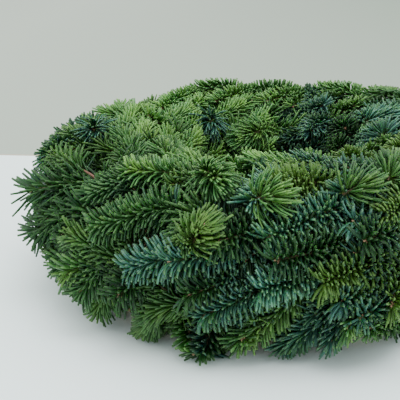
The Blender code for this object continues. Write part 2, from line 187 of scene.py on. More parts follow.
def sight_line(pixel):
    """Points on the line from the camera's place through a pixel."""
    yaw, pitch = math.radians(EYE_YAW_DEG), math.radians(EYE_PITCH_DEG)
    right = np.array([math.cos(yaw), -math.sin(yaw), 0])
    ahead = np.array([math.sin(yaw) * math.cos(pitch), math.cos(yaw) * math.cos(pitch), -math.sin(pitch)])
    above = np.cross(right, ahead)
    across = (pixel[0] - FRAME_MIDDLE_PX) / EYE_FOCAL_PX
    down = (pixel[1] - FRAME_MIDDLE_PX) / EYE_FOCAL_PX
    steps = np.linspace(SIGHT_FROM, SIGHT_TO, SIGHT_STEPS)[:, None]
    return EYE + steps * (ahead + across * right - down * above)


def seen_at(pixel, reach, floor_z=-1.0):
    """First point at that reach on the sight line through a pixel, or else the nearest to it, among
    those above a height."""
    line = sight_line(pixel)
    line = line[line[:, 2] > floor_z]
    depth = reach_of(line)
    inside = np.flatnonzero(depth < reach)
    return line[inside[0]] if len(inside) else line[depth.argmin()]


print("the rosette's bud lies at", seen_at(SEEN_SHOOTS["rosette"][0], SEEN_TIP_REACH).round(3))

# %% [markdown]
# ## The plan of the sprigs
#
# A florist ties three bunches for each turn of wire: one outside, one on top and one inside. The
# plan repeats that rule with small seeded strays, and then lets each shoot that stands out take
# the place of its nearest neighbour. The seed and the order of the draws are those of the solid
# frame, so that the fine shoots lie where the solids lie.

# %% Rules for the bunches and the wire
TURNS = 18
TURN_DEG = 360 / TURNS
WIRE_R = 0.0005
WIRE_UNDER_Z = 0.0011
WIRE_UNDER_HALF = 0.0245
WIRE_LOW_DEG = -36
WIRE_HIGH_DEG = 216
WIRE_LEGS = 8
WIRE_AROUND_R = STRAW_TUBE_R + 0.0074
WIRE_OUT = WIRE_AROUND_R + WIRE_R
STEM_R = 0.0021
STEM_CLEAR = 0.0006
CUT_END = 0.011
STEM_SPREAD_DEG = 2.4
TIP_REACH = 0.83
MIDDLE_SHARE = 0.52
RISE_POWER = 0.75
BUNCHES = {
    "outer": {"leg": 1, "rows": ((-50, -14, 22), (-32, 4, 40)), "length": 0.125},
    "top": {"leg": 3, "rows": ((58, 94), (76, 112)), "length": 0.112},
    "inner": {"leg": 5, "rows": ((130, 168), (149, 190)), "length": 0.078},
}
SEED = 24
ROW_STRAY_DEG = 5
REACH_STRAY = (-0.05, 0.04)
LENGTH_STRAY = (0.9, 1.1)


def wire_deg(turn, leg):
    """Angles round the tube and round the wreath of a place on the wire, counted in legs."""
    share = leg / WIRE_LEGS
    return WIRE_LOW_DEG + share * (WIRE_HIGH_DEG - WIRE_LOW_DEG), TURN_DEG * (turn + share)


def plan_sprig(turn, bunch, place, rng):
    """Cut end, tie, middle and tip of one sprig."""
    rule = BUNCHES[bunch]
    row = rule["rows"][turn % 2][place] + rng.uniform(-ROW_STRAY_DEG, ROW_STRAY_DEG)
    reach = TIP_REACH + rng.uniform(*REACH_STRAY)
    length = rule["length"] * rng.uniform(*LENGTH_STRAY)
    around, tied = wire_deg(turn, rule["leg"] + 0.5)
    spread = STEM_SPREAD_DEG * (place - (len(rule["rows"][0]) - 1) / 2)
    on_straw = straw_section(around + spread, STRAW_TUBE_R + STEM_R + STEM_CLEAR)
    on_skin = mound_section(row, reach)
    middle = on_straw + (on_skin - on_straw) * MIDDLE_SHARE**RISE_POWER
    back = length * math.degrees(1 / (0.5 * (on_straw[0] + on_skin[0])))
    step = math.degrees(CUT_END / on_straw[0])
    places = ((on_straw, step), (on_straw, -step), (middle, -back * MIDDLE_SHARE), (on_skin, -back))
    return np.array([turned(section, tied + further) for section, further in places])


def plan_sprigs():
    """Every sprig by its bunch's name, with the seen ones in the place of their nearest."""
    rng = np.random.default_rng(SEED)
    keys, paths = [], []
    for turn in range(TURNS):
        for bunch, rule in BUNCHES.items():
            for place in range(len(rule["rows"][0])):
                keys.append(f"sprigs_{turn + 1:02d}_{bunch}")
                paths.append(plan_sprig(turn, bunch, place, rng))
    paths, seen = np.array(paths), [None] * len(paths)
    free = np.ones(len(paths), bool)
    for name, (bud, stem, _, _) in SEEN_SHOOTS.items():
        tip, middle = seen_at(bud, SEEN_TIP_REACH), seen_at(stem, SEEN_STEM_REACH)
        far = np.linalg.norm(paths[:, 3] - tip, axis=1) + np.linalg.norm(paths[:, 2] - middle, axis=1)
        far[~free] = np.inf
        nearest = far.argmin()
        if far[nearest] < SEEN_NEAR:
            paths[nearest, 2:] = middle, tip
            free[nearest] = False
            seen[nearest] = name
    return keys, paths, seen


keys, paths, seen = plan_sprigs()
print(f"{len(keys)} sprigs, {sum(name is not None for name in seen)} of them stand out in the photograph")

# %% [markdown]
# The planned lines may cross. So middles and tips are pushed off the straw ring and its wire, and
# where two cores of different bunches touch, both give way a little, until nothing touches.

# %% Clear the straw, and ease the sprigs apart
GAP = 0.0003
CORE_SHARES = (0, 1 / 3, 2 / 3, 1)
CORE_RADII = (STEM_R, STEM_R, 0.0042, 0.0012)
CORE_GAP = 0.0008
EASE_ROUNDS = 120
EASE_STEP = 0.6
EASE_ENOUGH = 1e-6
NO_GAP = 1e-9
NO_SLOPE = 1e-18
TABLE_CLEAR = 0.0022
# For each leg: its fixed end, its moved end, and the shares of it where the core has to clear
OFF_STRAW_LEGS = ((1, 2, (0.5, 0.75, 1.0)), (2, 3, (0.5, 1.0)))


def closest(a, b, c, d):
    """Shares along the segments ab and cd of their nearest points, and the vector between them."""
    u, v, w = b - a, d - c, a - c
    uu, uv, vv = (u * u).sum(-1), (u * v).sum(-1), (v * v).sum(-1)
    uw, vw = (u * w).sum(-1), (v * w).sum(-1)
    slope = np.maximum(uu * vv - uv * uv, NO_SLOPE)
    s = np.clip((uv * vw - vv * uw) / slope, 0, 1)
    t = np.clip((uv * s + vw) / vv, 0, 1)
    s = np.clip((uv * t - uw) / uu, 0, 1)
    between = (a + s[..., None] * u) - (c + t[..., None] * v)
    return s, t, between


def core_radius(share):
    """Radius of a core along the path: stem, widest where the needles begin, then the bud."""
    return np.interp(share, CORE_SHARES, CORE_RADII)


def push_off_straw(paths):
    """Move middles and tips outward until their cores clear the straw ring and its wire."""
    for first, moved, shares in OFF_STRAW_LEGS:
        for share in shares:
            at = paths[:, first] * (1 - share) + paths[:, moved] * share
            need = WIRE_OUT + core_radius((first + share) / 3) + 2 * GAP
            short = np.maximum(need - off_straw(at), 0)
            ring = np.arctan2(at[:, 1], at[:, 0])
            out = np.hypot(at[:, 0], at[:, 1]) - MOUND_R
            up = at[:, 2] - STRAW_MIDDLE_Z
            away = unit(np.stack([out * np.cos(ring), out * np.sin(ring), up], -1))
            paths[:, moved] += away * (short / share)[:, None]
    low = TABLE_CLEAR + core_radius(np.array([2, 3]) / 3)
    paths[:, 2:, 2] = np.maximum(paths[:, 2:, 2], low)


def ease_apart(keys, paths):
    """Move the sprigs' middles and tips until no core touches one of another bunch."""
    sprig = np.repeat(np.arange(len(paths)), 3)
    leg = np.tile(np.arange(3), len(paths))
    names = np.array(keys)[sprig]
    one, two = np.triu_indices(len(sprig), 1)
    apart = names[one] != names[two]
    one, two = one[apart], two[apart]
    for _ in range(EASE_ROUNDS):
        start, end = paths[sprig, leg], paths[sprig, leg + 1]
        s, t, between = closest(start[one], end[one], start[two], end[two])
        gap = np.linalg.norm(between, axis=1)
        need = core_radius((leg[one] + s) / 3) + core_radius((leg[two] + t) / 3) + CORE_GAP
        touching = np.flatnonzero(gap < need - EASE_ENOUGH)
        for pair in touching:
            push = between[pair] / max(gap[pair], NO_GAP) * (need[pair] - gap[pair]) * EASE_STEP
            for index, share, sign in ((one[pair], s[pair], 1), (two[pair], t[pair], -1)):
                for point, weight in ((leg[index], 1 - share), (leg[index] + 1, share)):
                    if point >= 2:
                        paths[sprig[index], point] += sign * weight * push
        push_off_straw(paths)
        if len(touching) == 0:
            break


push_off_straw(paths)
ease_apart(keys, paths)
misses = []
for key, path in zip(keys, paths):
    corners = np.array([v.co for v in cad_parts[key].data.vertices])
    misses.append(np.linalg.norm(corners - path[3], axis=1).min())
print(f"every planned tip lies within {1000 * max(misses):.2f} mm of its solid")

# %% [markdown]
# ## From legs to growing shoots
#
# A core has straight legs, and a living twig doesn't. A cubic through the same points keeps the
# line in the core and rounds its bends. All twigs are kept in one array, shoots by points by three
# coordinates, so that every later step works on all of them at once.
#
# A noble fir twig carries side twigs to both sides, in one plane. They close the mound between the
# main shoots. Each lies a little deeper than its parent, and its needles are painted darker as
# shade; both give the dark gaps that make the wreath look thick.

# %% Smooth lines of the main shoots
LINE_POINTS = 9
TINY = 1e-6
SHOOT_SEED = 71
shoot_rng = np.random.default_rng(SHOOT_SEED)


def on_circle(points, height):
    """Nearest points on the circle round the wreath's axis that runs inside the mound at a height."""
    ring = np.degrees(np.arctan2(points[..., 1], points[..., 0]))
    return turned(np.broadcast_to(np.array([MOUND_R, height]), ring.shape + (2,)), ring)


def within_reach(points, low, high):
    """Points moved straight from the mound's middle line until their reach lies in a range."""
    middle, reach = on_circle(points, MOUND_HALF_HEIGHT), np.maximum(reach_of(points), TINY)
    return middle + (points - middle) * (np.clip(reach, low, high) / reach)[..., None]


def clear_of_straw(points, distance):
    """Points moved straight away from the straw ring's tube until they are that far off it."""
    tube, off = on_circle(points, STRAW_MIDDLE_Z), np.maximum(off_straw(points), TINY)
    return tube + (points - tube) * (np.maximum(off, distance) / off)[..., None]


def main_lines(paths):
    """Cubic curves through tie, middle and tip; the slope at a knot is half the step between its
    neighbours, and at the tip it is the last step."""
    share = np.linspace(0, 1, (LINE_POINTS + 1) // 2)[None, :, None]
    stretches = []
    for first in (1, 2):
        start, end = paths[:, first, None], paths[:, first + 1, None]
        slope_in, slope_out = (end - paths[:, first - 1, None]) / 2, (paths[:, 3, None] - start) / (3 - first)
        stretches.append(
            (2 * share**3 - 3 * share**2 + 1) * start
            + (share**3 - 2 * share**2 + share) * slope_in
            + (3 * share**2 - 2 * share**3) * end
            + (share**3 - share**2) * slope_out
        )
    return np.concatenate([stretches[0], stretches[1][:, 1:]], axis=1)


mains = main_lines(paths)
print("main shoots:", mains.shape)

# %% Helpers for twigs
TWIG_REACH = 0.80
TWIG_OFF_STRAW = 0.046
TWIG_HEIGHTS = (0.006, np.inf)
TWIG_RADII = (0.072, np.inf)


def along(lines, which, share):
    """Point and direction on a line, at a share of its points."""
    place = np.clip(share, 0, 1) * (lines.shape[1] - 1)
    left = np.minimum(place.astype(int), lines.shape[1] - 2)
    part = (place - left)[..., None]
    point = lines[which, left] * (1 - part) + lines[which, left + 1] * part
    slopes = np.gradient(lines, axis=1)
    slope = slopes[which, left] * (1 - part) + slopes[which, left + 1] * part
    return point, unit(slope)


def outward_of(points, axes):
    """Direction out of the mound at a point, square to a twig's axis."""
    outward = unit(points - on_circle(points, MOUND_HALF_HEIGHT))
    return unit(outward - axes * (outward * axes).sum(-1, keepdims=True))


def in_bounds(points, heights, radii):
    """Points held between two heights and between two distances from the wreath's axis."""
    points[..., 2] = np.clip(points[..., 2], *heights)
    radius = np.hypot(points[..., 0], points[..., 1])
    points[..., :2] *= (np.clip(radius, *radii) / radius)[..., None]
    return points


def keep_in_place(points, reach=TWIG_REACH):
    """Twig points held inside the mound, off the straw, off the table and out of the hole."""
    points = clear_of_straw(within_reach(points, 0, reach), TWIG_OFF_STRAW)
    return in_bounds(points, TWIG_HEIGHTS, TWIG_RADII)


def parabola(start, knee, tip):
    """Lines that leave their start towards the knee and arrive at the tip from it."""
    part = np.linspace(0, 1, LINE_POINTS)[None, :, None]
    return (1 - part) ** 2 * start[:, None] + 2 * part * (1 - part) * knee[:, None] + part**2 * tip[:, None]


def parabolas(rows):
    """The same for rows that hold start, knee and tip."""
    return parabola(*np.transpose(rows, (1, 0, 2)))


print("the middle of a parabola:", parabolas([np.eye(3)])[0, LINE_POINTS // 2])

# %% [markdown]
# The plan has one main shoot per place, and some shoots of the photograph lie over others. Those
# that found no free neighbour are laid on top as shoots of their own, and belong to the bunch
# whose tip is nearest. The last three lie past the picture's right edge, and close gaps there.
# Main shoots and those on top are the leaders, which the smaller twigs belong to.
#
# Fans and curls are short twigs whose needles all seem to come from one point, the foot. Each is
# noted by the pixel of its foot, a pixel that it points to, and how far it turns to the viewer.

# %% Shoots laid on top, and fans
OVER_REACH = 0.96
OVER_SKY_REACH = 0.86
OVER_SKY_Z = 1.5 * MOUND_HALF_HEIGHT
OVER_STEM_REACH = 0.72
OVER_START_REACH = (0.3, 0.6)
OVER_LOW_Z = 0.010
OVER_BACK = 0.55
OVER_LONGEST = 0.090
FAN_LENGTHS = {"fan": 0.015, "curl": 0.026}
FAN_FOOT_REACH = 0.92
FANS = {
    "blue fan": ((95, 127), (84, 150), 0.8, "blue", "fan"),
    "pompom over the hole": ((211, 117), (212, 145), 1.0, "blue", "fan"),
    "rosette": ((254, 199), (285, 193), 0.5, "pale green", "fan"),
    "rosette with a red bud": ((206, 170), (238, 198), 0.6, "pale green", "curl"),
    "right rosette": ((345, 193), (375, 178), 0.5, "green", "fan"),
    "up-swept curl": ((190, 246), (206, 222), 1.0, "fresh", "curl"),
    "pale fan at the right": ((384, 137), (381, 112), 0.4, "pale blue", "fan"),
    "pale curl above it": ((366, 122), (398, 112), 0.2, "pale blue", "curl"),
    "edge curl": ((388, 180), (398, 160), 0.3, "green", "curl"),
    "thin curl": ((262, 130), (236, 140), 0.3, "pale green", "curl"),
}
# Shoots of the dark tone are painted shade: dark shoots set in hollows between shoots that lie in shade.
LAID_ON_TOP = {
    "left end, highest": ((44, 148), (80, 136), "blue", "claw"),
    "left end, lowest": ((68, 272), (100, 262), "green", "open"),
    "front comb, near its stem": ((172, 261), (246, 248), "blue", "brush"),
    "under the front comb": ((190, 294), (240, 278), "dark", "brush"),
    "behind the pink bud": ((278, 260), (324, 250), "dark", "brush"),
    "in the dark hollow": ((222, 240), (262, 230), "dark", "brush"),
    "dark gap at the right": ((366, 240), (396, 228), "dark", "brush"),
    "behind the hanging comb": ((120, 294), (142, 274), "dark", "open"),
    "hanging end, first": ((207, 350), (206, 322), "blue", "brush"),
    "hanging end, lowest": ((202, 350), (211, 331), "deep", "tuft"),
    "hanging end, second": ((243, 338), (248, 314), "green", "brush"),
    "hanging end, third": ((349, 326), (361, 301), "green", "swept"),
    "hanging end, fourth": ((392, 304), (398, 280), "fresh", "open"),
    "hanging end, fifth": ((362, 317), (392, 296), "blue", "brush"),
    "hanging end, sixth": ((371, 327), (398, 311), "deep", "open"),
    "hanging far tuft": ((310, 126), (311, 100), "blue", "swept"),
    "dark far tuft": ((340, 124), (322, 106), "dark", "open"),
    # The lightest green shoots here and on the skyline are painted light.
    "between the skyline shoots": ((163, 102), (192, 98), "bright green", "open"),
    "between them, further left": ((152, 110), (180, 106), "bright green", "brush"),
    "between them, in the middle": ((218, 95), (248, 96), "bright green", "open"),
    "between them, further right": ((268, 95), (298, 98), "bright green", "open"),
    "past the edge, near": ((464, 159), (463, 137), "fresh", "brush"),
    "past the edge, middle": ((427, 122), (407, 109), "green", "swept"),
    "past the edge, far": ((478, 141), (458, 120), "green", "brush"),
}
NOTED = SEEN_SHOOTS | LAID_ON_TOP


def over_lines():
    """Noted shoots that took nobody's place: out of the mound, by the stem's pixel, to the bud's.
    Where the stem's sight line meets the mound too far off, its point nearest to the bud is taken."""
    rows, names = [], []
    for name, (bud, stem, _, habit) in NOTED.items():
        if name in seen or habit == "fan":
            continue
        tip, middle = seen_at(bud, OVER_REACH, OVER_LOW_Z), seen_at(stem, OVER_STEM_REACH, OVER_LOW_Z)
        if np.linalg.norm(middle - tip) > OVER_LONGEST:
            line = sight_line(stem)
            middle = within_reach(line[np.linalg.norm(line - tip, axis=1).argmin()], 0, OVER_STEM_REACH)
        if tip[2] > OVER_SKY_Z:
            tip = within_reach(tip, 0, OVER_SKY_REACH)
        start = within_reach(middle + OVER_BACK * (middle - tip), *OVER_START_REACH)
        rows.append((start, 2 * middle - (start + tip) / 2, tip))
        names.append(name)
    return parabolas(rows), names


def fan_lines():
    """Fans: short twigs from the first pixel towards the second, turned partly to the viewer."""
    rows = []
    for foot_px, aim_px, turn, _, form in FANS.values():
        foot, aim = (seen_at(pixel, FAN_FOOT_REACH, OVER_LOW_Z) for pixel in (foot_px, aim_px))
        tip = foot + FAN_LENGTHS[form] * unit(unit(aim - foot) + turn * unit(EYE - foot))
        rows.append((foot, (foot + tip) / 2, tip))
    return parabolas(rows)


def nearest_main(points):
    """The main shoot whose tip is nearest to each point."""
    return np.linalg.norm(points[:, None] - mains[None, :, -1], axis=2).argmin(1)


overs, over_names = over_lines()
fans = fan_lines()
leaders = np.concatenate([mains, overs])
leader_names = seen + over_names
leader_owner = np.concatenate([np.arange(len(mains)), nearest_main(overs[:, -1])])
print(f"{len(overs)} shoots laid on top: {'; '.join(over_names)}")

# %% Side twigs
SIDE_SHARES = (0.36, 0.52, 0.68)
SIDE_SHARE_STRAY = 0.05
SIDE_ANGLE_DEG = (34, 52)
SIDE_LENGTH = (0.038, 0.060)
SIDE_TIP_SHORTER = 0.35
SIDE_DROP = (0.002, 0.020)
SIDE_KNEE_WIDER = 1.25
SIDE_TIP_NARROWER = 0.8
SIDE_KNEE_SHARE = 0.5
SIDE_KNEE_DROP = 0.3


def side_lines(leaders):
    """Side twigs that bend forward and lie a little deeper; shoots that stand out have none near
    their tips."""
    parent = np.repeat(np.arange(len(leaders)), len(SIDE_SHARES))
    number = np.tile(np.arange(len(SIDE_SHARES)), len(leaders))
    kept = ~stands_out[parent] | (number < len(SIDE_SHARES) - 1)
    parent, number = parent[kept], number[kept]
    count = len(parent)
    share = np.array(SIDE_SHARES)[number] + shoot_rng.uniform(-SIDE_SHARE_STRAY, SIDE_SHARE_STRAY, count)
    start, axis = along(leaders, parent, share)
    outward = outward_of(start, axis)
    hand = np.where((number + parent) % 2, 1.0, -1.0)[:, None]
    across = np.cross(axis, outward) * hand
    angle = np.radians(shoot_rng.uniform(*SIDE_ANGLE_DEG, count))[:, None]
    size = (shoot_rng.uniform(*SIDE_LENGTH, count) * (1 - SIDE_TIP_SHORTER * share))[:, None]
    drop = shoot_rng.uniform(*SIDE_DROP, count)[:, None]
    wide, narrow = angle * SIDE_KNEE_WIDER, angle * SIDE_TIP_NARROWER
    to_knee = size * SIDE_KNEE_SHARE * (axis * np.cos(wide) + across * np.sin(wide))
    knee = start + to_knee - drop * outward * SIDE_KNEE_DROP
    tip = start + size * (axis * np.cos(narrow) + across * np.sin(narrow)) - drop * outward
    return parent, parabola(start, keep_in_place(knee), keep_in_place(tip))


stands_out = np.array([name is not None for name in leader_names])
side_parent, sides = side_lines(leaders)
print("side twigs:", sides.shape)

# %% [markdown]
# Two more families of twigs fill the depth, with needles painted dark as shade. Under each leader
# lies a dark one, moved to its side.
# And low down, where the straw would show between the table and the lowest bunches, a florist
# tucks short twigs that hang over the ring's foot, outside and in the hole.

# %% Under twigs and low twigs
UNDER_FROM = 0.10
UNDER_SHARE = 0.80
UNDER_ASIDE = 0.024
UNDER_KNEE = 0.3
UNDER_REACH = (0.45, 0.62)
# For each row: how far out of the tube's middle and how high its tips lie, and its place between
# two turns of the wire
LOW_TWIGS = {
    "outer": (
        (0.052, 0.034, 0.0),
        (0.047, 0.008, 0.15),
        (0.042, 0.017, 0.3),
        (0.049, 0.024, 0.55),
        (0.044, 0.029, 0.8),
    ),
    "inner": ((-0.050, 0.016, 0.0),),
}
LOW_LENGTH = (0.060, 0.085)
LOW_STRAY = 0.006
LOW_REACH = 1.0
LOW_START_ASIDE = 0.78
LOW_START_Z = STRAW_MIDDLE_Z + 0.030
LOW_KNEE_ASIDE = 0.1
LOW_KNEE_UP = 0.022


def under_lines(leaders):
    """One twig under each leader, from its foot to a point beside its tip and deeper."""
    parent = np.arange(len(leaders))
    start, _ = along(leaders, parent, np.full(len(leaders), UNDER_FROM))
    end, axis = along(leaders, parent, np.full(len(leaders), UNDER_SHARE))
    across = np.cross(axis, outward_of(end, axis)) * np.where(parent % 2, 1.0, -1.0)[:, None]
    tip = within_reach(end + UNDER_ASIDE * across, *UNDER_REACH)
    knee = within_reach((start + tip) / 2 + UNDER_KNEE * UNDER_ASIDE * across, *UNDER_REACH)
    return parent, parabola(start, keep_in_place(knee), keep_in_place(tip))


def low_lines(keys):
    """Twigs at the foot of the straw ring, in rows."""
    parent, lows = [], []
    for turn in range(TURNS):
        for bunch, rows in LOW_TWIGS.items():
            for aside, height, step in rows:
                length = shoot_rng.uniform(*LOW_LENGTH)
                wave = shoot_rng.uniform(-LOW_STRAY, LOW_STRAY, 2)
                tip = np.array([MOUND_R + aside + wave[0], height + abs(wave[1])])
                tied = TURN_DEG * (turn + step)
                back = math.degrees(length / tip[0])
                start = np.array([MOUND_R + aside * LOW_START_ASIDE, LOW_START_Z])
                knee = tip + (LOW_KNEE_ASIDE * aside, LOW_KNEE_UP)
                parent.append(keys.index(f"sprigs_{turn + 1:02d}_{bunch}"))
                lows.append((turned(start, tied), turned(knee, tied - back * 0.5), turned(tip, tied - back)))
    return np.array(parent), parabolas(keep_in_place(np.array(lows), LOW_REACH))


under_parent, unders = under_lines(leaders)
low_parent, lows = low_lines(keys)
print(f"{len(unders)} under twigs, {len(lows)} low twigs")

# %% All the twigs together
# For each kind: its lightness, which is painted shade that darkens the side, under and low twigs,
# needles a metre, the share of the twig before them, their size, and the twig's radius in metres
KINDS = {
    "main": (0.92, 1600, 0.20, 1.0, 0.0017),
    "over": (0.95, 1800, 0.15, 1.0, 0.0013),
    "side": (0.56, 920, 0.10, 0.88, 0.0011),
    "under": (0.32, 430, 0.25, 0.84, 0.0012),
    "low": (0.40, 850, 0.15, 0.80, 0.0011),
    "fan": (0.95, 5000, 0.0, 1.0, 0.0008),
}
lines = np.concatenate([mains, overs, sides, unders, lows, fans])
leader_of = np.concatenate([np.arange(len(leaders)), side_parent, under_parent, low_parent])


def handed_down(leader_values, fan_values):
    """Values of the leaders given to their side twigs, under twigs and low twigs, then the fans'."""
    return np.concatenate([leader_values[leader_of], fan_values])


owner = handed_down(leader_owner, nearest_main(fans[:, -1]))
bunch = np.array([bunch_names.index(key) for key in keys])[owner]
sizes = [len(family) for family in (mains, overs, sides, unders, lows, fans)]
kind = np.repeat(list(KINDS), sizes)
rules = np.repeat(list(KINDS.values()), sizes, axis=0).T
painted_depth_shade, per_metre, first_share, kind_length, twig_thick = rules
leads, is_fan, hidden = np.isin(kind, ["main", "over"]), kind == "fan", np.isin(kind, ["under", "low"])
line_length = np.linalg.norm(np.diff(lines, axis=1), axis=2).sum(1)
print(f"{dict(zip(KINDS, sizes))}, {line_length.sum():.1f} m of twig")

# %% [markdown]
# ## Colour and habit of the shoots
#
# Every shoot has one place on a scale from fresh yellow-green, over green and deep green, to the
# waxy blue of the blue-needled trees, and a lightness. Side twigs take their parent's colour.
#
# It also has a habit. On a brush the needles start forward and bend outward until they stand
# square to the twig. On a swept shoot they stream forward. On an open one they stand off all
# round. A fan's needles start square to its twig or even backward and bend forward like the ribs
# of a shell, and a curl's do so more closely. On a claw and a tuft they point forward all round
# and may leave the skin a little: the claw's are long, and the tuft's short. Shoots that nobody
# sees in the photograph draw both colour and habit.

# %% Colour, lightness and habit of each shoot
# For each tone: its place on the scale, its lightness, and its share of the unseen shoots. The dark
# tone's low lightness is painted shade, and the lightest green's high lightness is painted light.
TONES = {
    "fresh": (0.10, 0.9, 0.20),
    "green": (0.38, 1.0, 0.36),
    "deep": (0.58, 0.80, 0.12),
    # Painted shade: the dark tone stands in for the shade in the hollows
    "dark": (0.70, 0.45, 0.02),
    "blue": (0.98, 1.05, 0.20),
    "pale green": (0.34, 1.40, 0.05),
    "pale blue": (0.96, 1.5, 0.03),
    # Painted light: this tone's high lightness makes shoots on the far crest look lit from behind
    "bright green": (0.31, 1.75, 0.02),
}
TONE_STRAY = 0.06
LEADER_TONE_STRAY = 0.025
LIGHT_STRAY = 0.10
TAKES_AFTER = 0.075
# For each habit: angle to the twig at its stem, bend along the needle, angle at the bud, power of
# the change between them, least and greatest turn round the twig, lift, length, breadth, and how
# far out of the mound's skin the needles may reach
HABITS = {
    "brush": (30, 62, 14, 6, 0, 130, 0.12, 0.96, 1.10, 1.12),
    "swept": (34, 16, 14, 5, 0, 120, 0.10, 1.08, 1.0, 1.12),
    "open": (44, 22, 26, 5, 6, 116, 0.04, 1.0, 1.0, 1.12),
    "fan": (104, -38, 30, 1, 0, 180, 0.0, 1.08, 0.90, 1.12),
    "curl": (84, -40, 34, 1.4, 0, 180, 0.06, 1.0, 0.95, 1.12),
    "claw": (60, 0, 36, 3, 0, 180, 0.0, 1.32, 1.05, 1.28),
    "tuft": (46, 10, 30, 3, 0, 180, 0.0, 0.86, 1.10, 1.28),
}
# The unseen shoots take one of the first three
HABIT_SHARES = (0.32, 0.44, 0.24)

habit_names = list(HABITS)
tone_names = list(TONES)
tone_rules = np.array(list(TONES.values()))
noted = [k for k, name in enumerate(leader_names) if name and NOTED[name][3] != "fan"]
noted_looks = [NOTED[leader_names[k]][2:] for k in noted]
noted_tone = np.array([tone_names.index(tone) for tone, _ in noted_looks])
leader_tone = shoot_rng.choice(len(TONES), len(leaders), p=tone_rules[:, 2])
leader_habit = shoot_rng.choice(len(HABIT_SHARES), len(leaders), p=HABIT_SHARES)
far = np.linalg.norm(leaders[:, None, -1] - leaders[None, noted, -1], axis=2)
leader_tone = np.where(far.min(1) < TAKES_AFTER, noted_tone[far.argmin(1)], leader_tone)
leader_habit[noted] = [habit_names.index(habit) for _, habit in noted_looks]
fan_tone = [tone_names.index(tone) for *_, tone, _ in FANS.values()]
fan_habit = [habit_names.index(form) for *_, form in FANS.values()]
stray = np.where(leads | is_fan, LEADER_TONE_STRAY, TONE_STRAY)
scale_place, tone_light, _ = tone_rules[handed_down(leader_tone, fan_tone)].T
tone = scale_place + shoot_rng.normal(0, 1, len(lines)) * stray
# Painted shade: the kind's lightness darkens the deeper twigs
lightness = (1 + shoot_rng.normal(0, LIGHT_STRAY, len(lines))) * painted_depth_shade * tone_light
shoot_habit = handed_down(leader_habit, fan_habit)
habit = np.array(list(HABITS.values()), float)[shoot_habit]
print({name: int((shoot_habit == number).sum()) for number, name in enumerate(habit_names)})

# %% [markdown]
# ## The needles
#
# Noble fir needles stand all round the twig in a spiral, one every 137.5 degrees. Those below
# are turned up to the sides, so the twig looks like a brush with a parting underneath.
#
# A needle is a path with a profile carried along it: four stations, the first a point inside the
# twig and the others small triangles, keeled on top and flat below. That is only 16 triangles, so
# the whole wreath can have its needles as real geometry.

# %% Where the needles stand
NEEDLE_LENGTH = 0.0260
GOLDEN_DEG = 137.5
BARE = {"bare reddish stem": (0.50, 0.70)}
SPIN_STRAY_DEG = 4
SPIN_POWER = 0.95
OPEN_STRAY_DEG = 3
FAN_OPEN_STRAY_DEG = 10
NEEDLE_LENGTH_STRAY = 0.07
TIP_SHORTER = 0.18
TOP_SHORTER = 0.34
NEEDLE_SEED = 5
needle_rng = np.random.default_rng(NEEDLE_SEED)

counts = (line_length * per_metre).astype(int)
shoot = np.repeat(np.arange(len(lines)), counts)
order = np.arange(len(shoot)) - np.repeat(np.cumsum(counts) - counts, counts)
share = first_share[shoot] + (1 - first_share[shoot]) * (order + 0.5) / counts[shoot]
root, axis = along(lines, shoot, share)
outward = outward_of(root, axis)
across = np.cross(axis, outward)
open_at_stem, bend_deg, open_at_tip, close_power = habit[shoot, :4].T
spin_low, spin_high, lift, long, broad, skin = habit[shoot, 4:].T
turn_share = (GOLDEN_DEG * order % 360 - 180) / 180
spin = spin_low + (spin_high - spin_low) * np.abs(turn_share) ** SPIN_POWER
spin = np.sign(turn_share) * spin + needle_rng.normal(0, SPIN_STRAY_DEG, len(shoot))
print(f"{len(shoot)} needles before clearing")

# %% How a needle bends
STATIONS = np.array([0.0, 0.28, 0.62, 0.98])


def needle_points(root, axis, outward, across, spin, open_deg, bend_deg, lift, length):
    """Stations along each needle. Its direction opens from the axis by an angle that changes by
    the bend along it, turned round the axis by the spin, plus a lift out of the mound that grows."""
    around = np.radians(spin)[:, None]
    side = outward * np.cos(around) + across * np.sin(around)
    points = [root]
    for before, after in zip(STATIONS[:-1], STATIONS[1:]):
        middle = (before + after) / 2
        opened = np.radians(open_deg + bend_deg * middle)[:, None]
        raised = outward * (lift * middle)[:, None]
        heading = unit(axis * np.cos(opened) + side * np.sin(opened) + raised)
        points.append(points[-1] + heading * (length * (after - before))[:, None])
    return np.stack(points, axis=1)


closing = share**close_power
open_deg = open_at_stem + (open_at_tip - open_at_stem) * closing
stray_deg = np.where(is_fan, FAN_OPEN_STRAY_DEG, OPEN_STRAY_DEG)
open_deg = open_deg + needle_rng.normal(0, 1, len(shoot)) * stray_deg[shoot]
length = NEEDLE_LENGTH * (1 + needle_rng.normal(0, NEEDLE_LENGTH_STRAY, len(shoot)))
length *= (1 - TIP_SHORTER * closing) * kind_length[shoot] * long
length *= 1 - TOP_SHORTER * np.maximum(np.cos(np.radians(spin)), 0)
points = needle_points(root, axis, outward, across, spin, open_deg, bend_deg, lift, length)
print("stations:", points.shape)

# %% [markdown]
# Needles are soft compared with the table. Those that would go a little below it, or out of the
# skin, bend along it, and those that would hang into the hole are held at its edge. Those that
# would end far below the table, in the straw ring or deep in the mound are left out.

# %% Keep the needles in their space
NEEDLE_HEIGHTS = (0.0016, 0.1622)
NEEDLE_RADII = (0.0600, 0.2590)
TABLE_BEND = 0.005
STRAW_SURFACE = STRAW_TUBE_R + 0.003
SEEN_FROM_REACH = 0.58


def hold_needles(points, skin):
    """Stations after the first held inside the skin, over the table and out of the hole."""
    free = in_bounds(within_reach(points[:, 1:], 0, skin[:, None]), NEEDLE_HEIGHTS, NEEDLE_RADII)
    return np.concatenate([points[:, :1], free], axis=1)


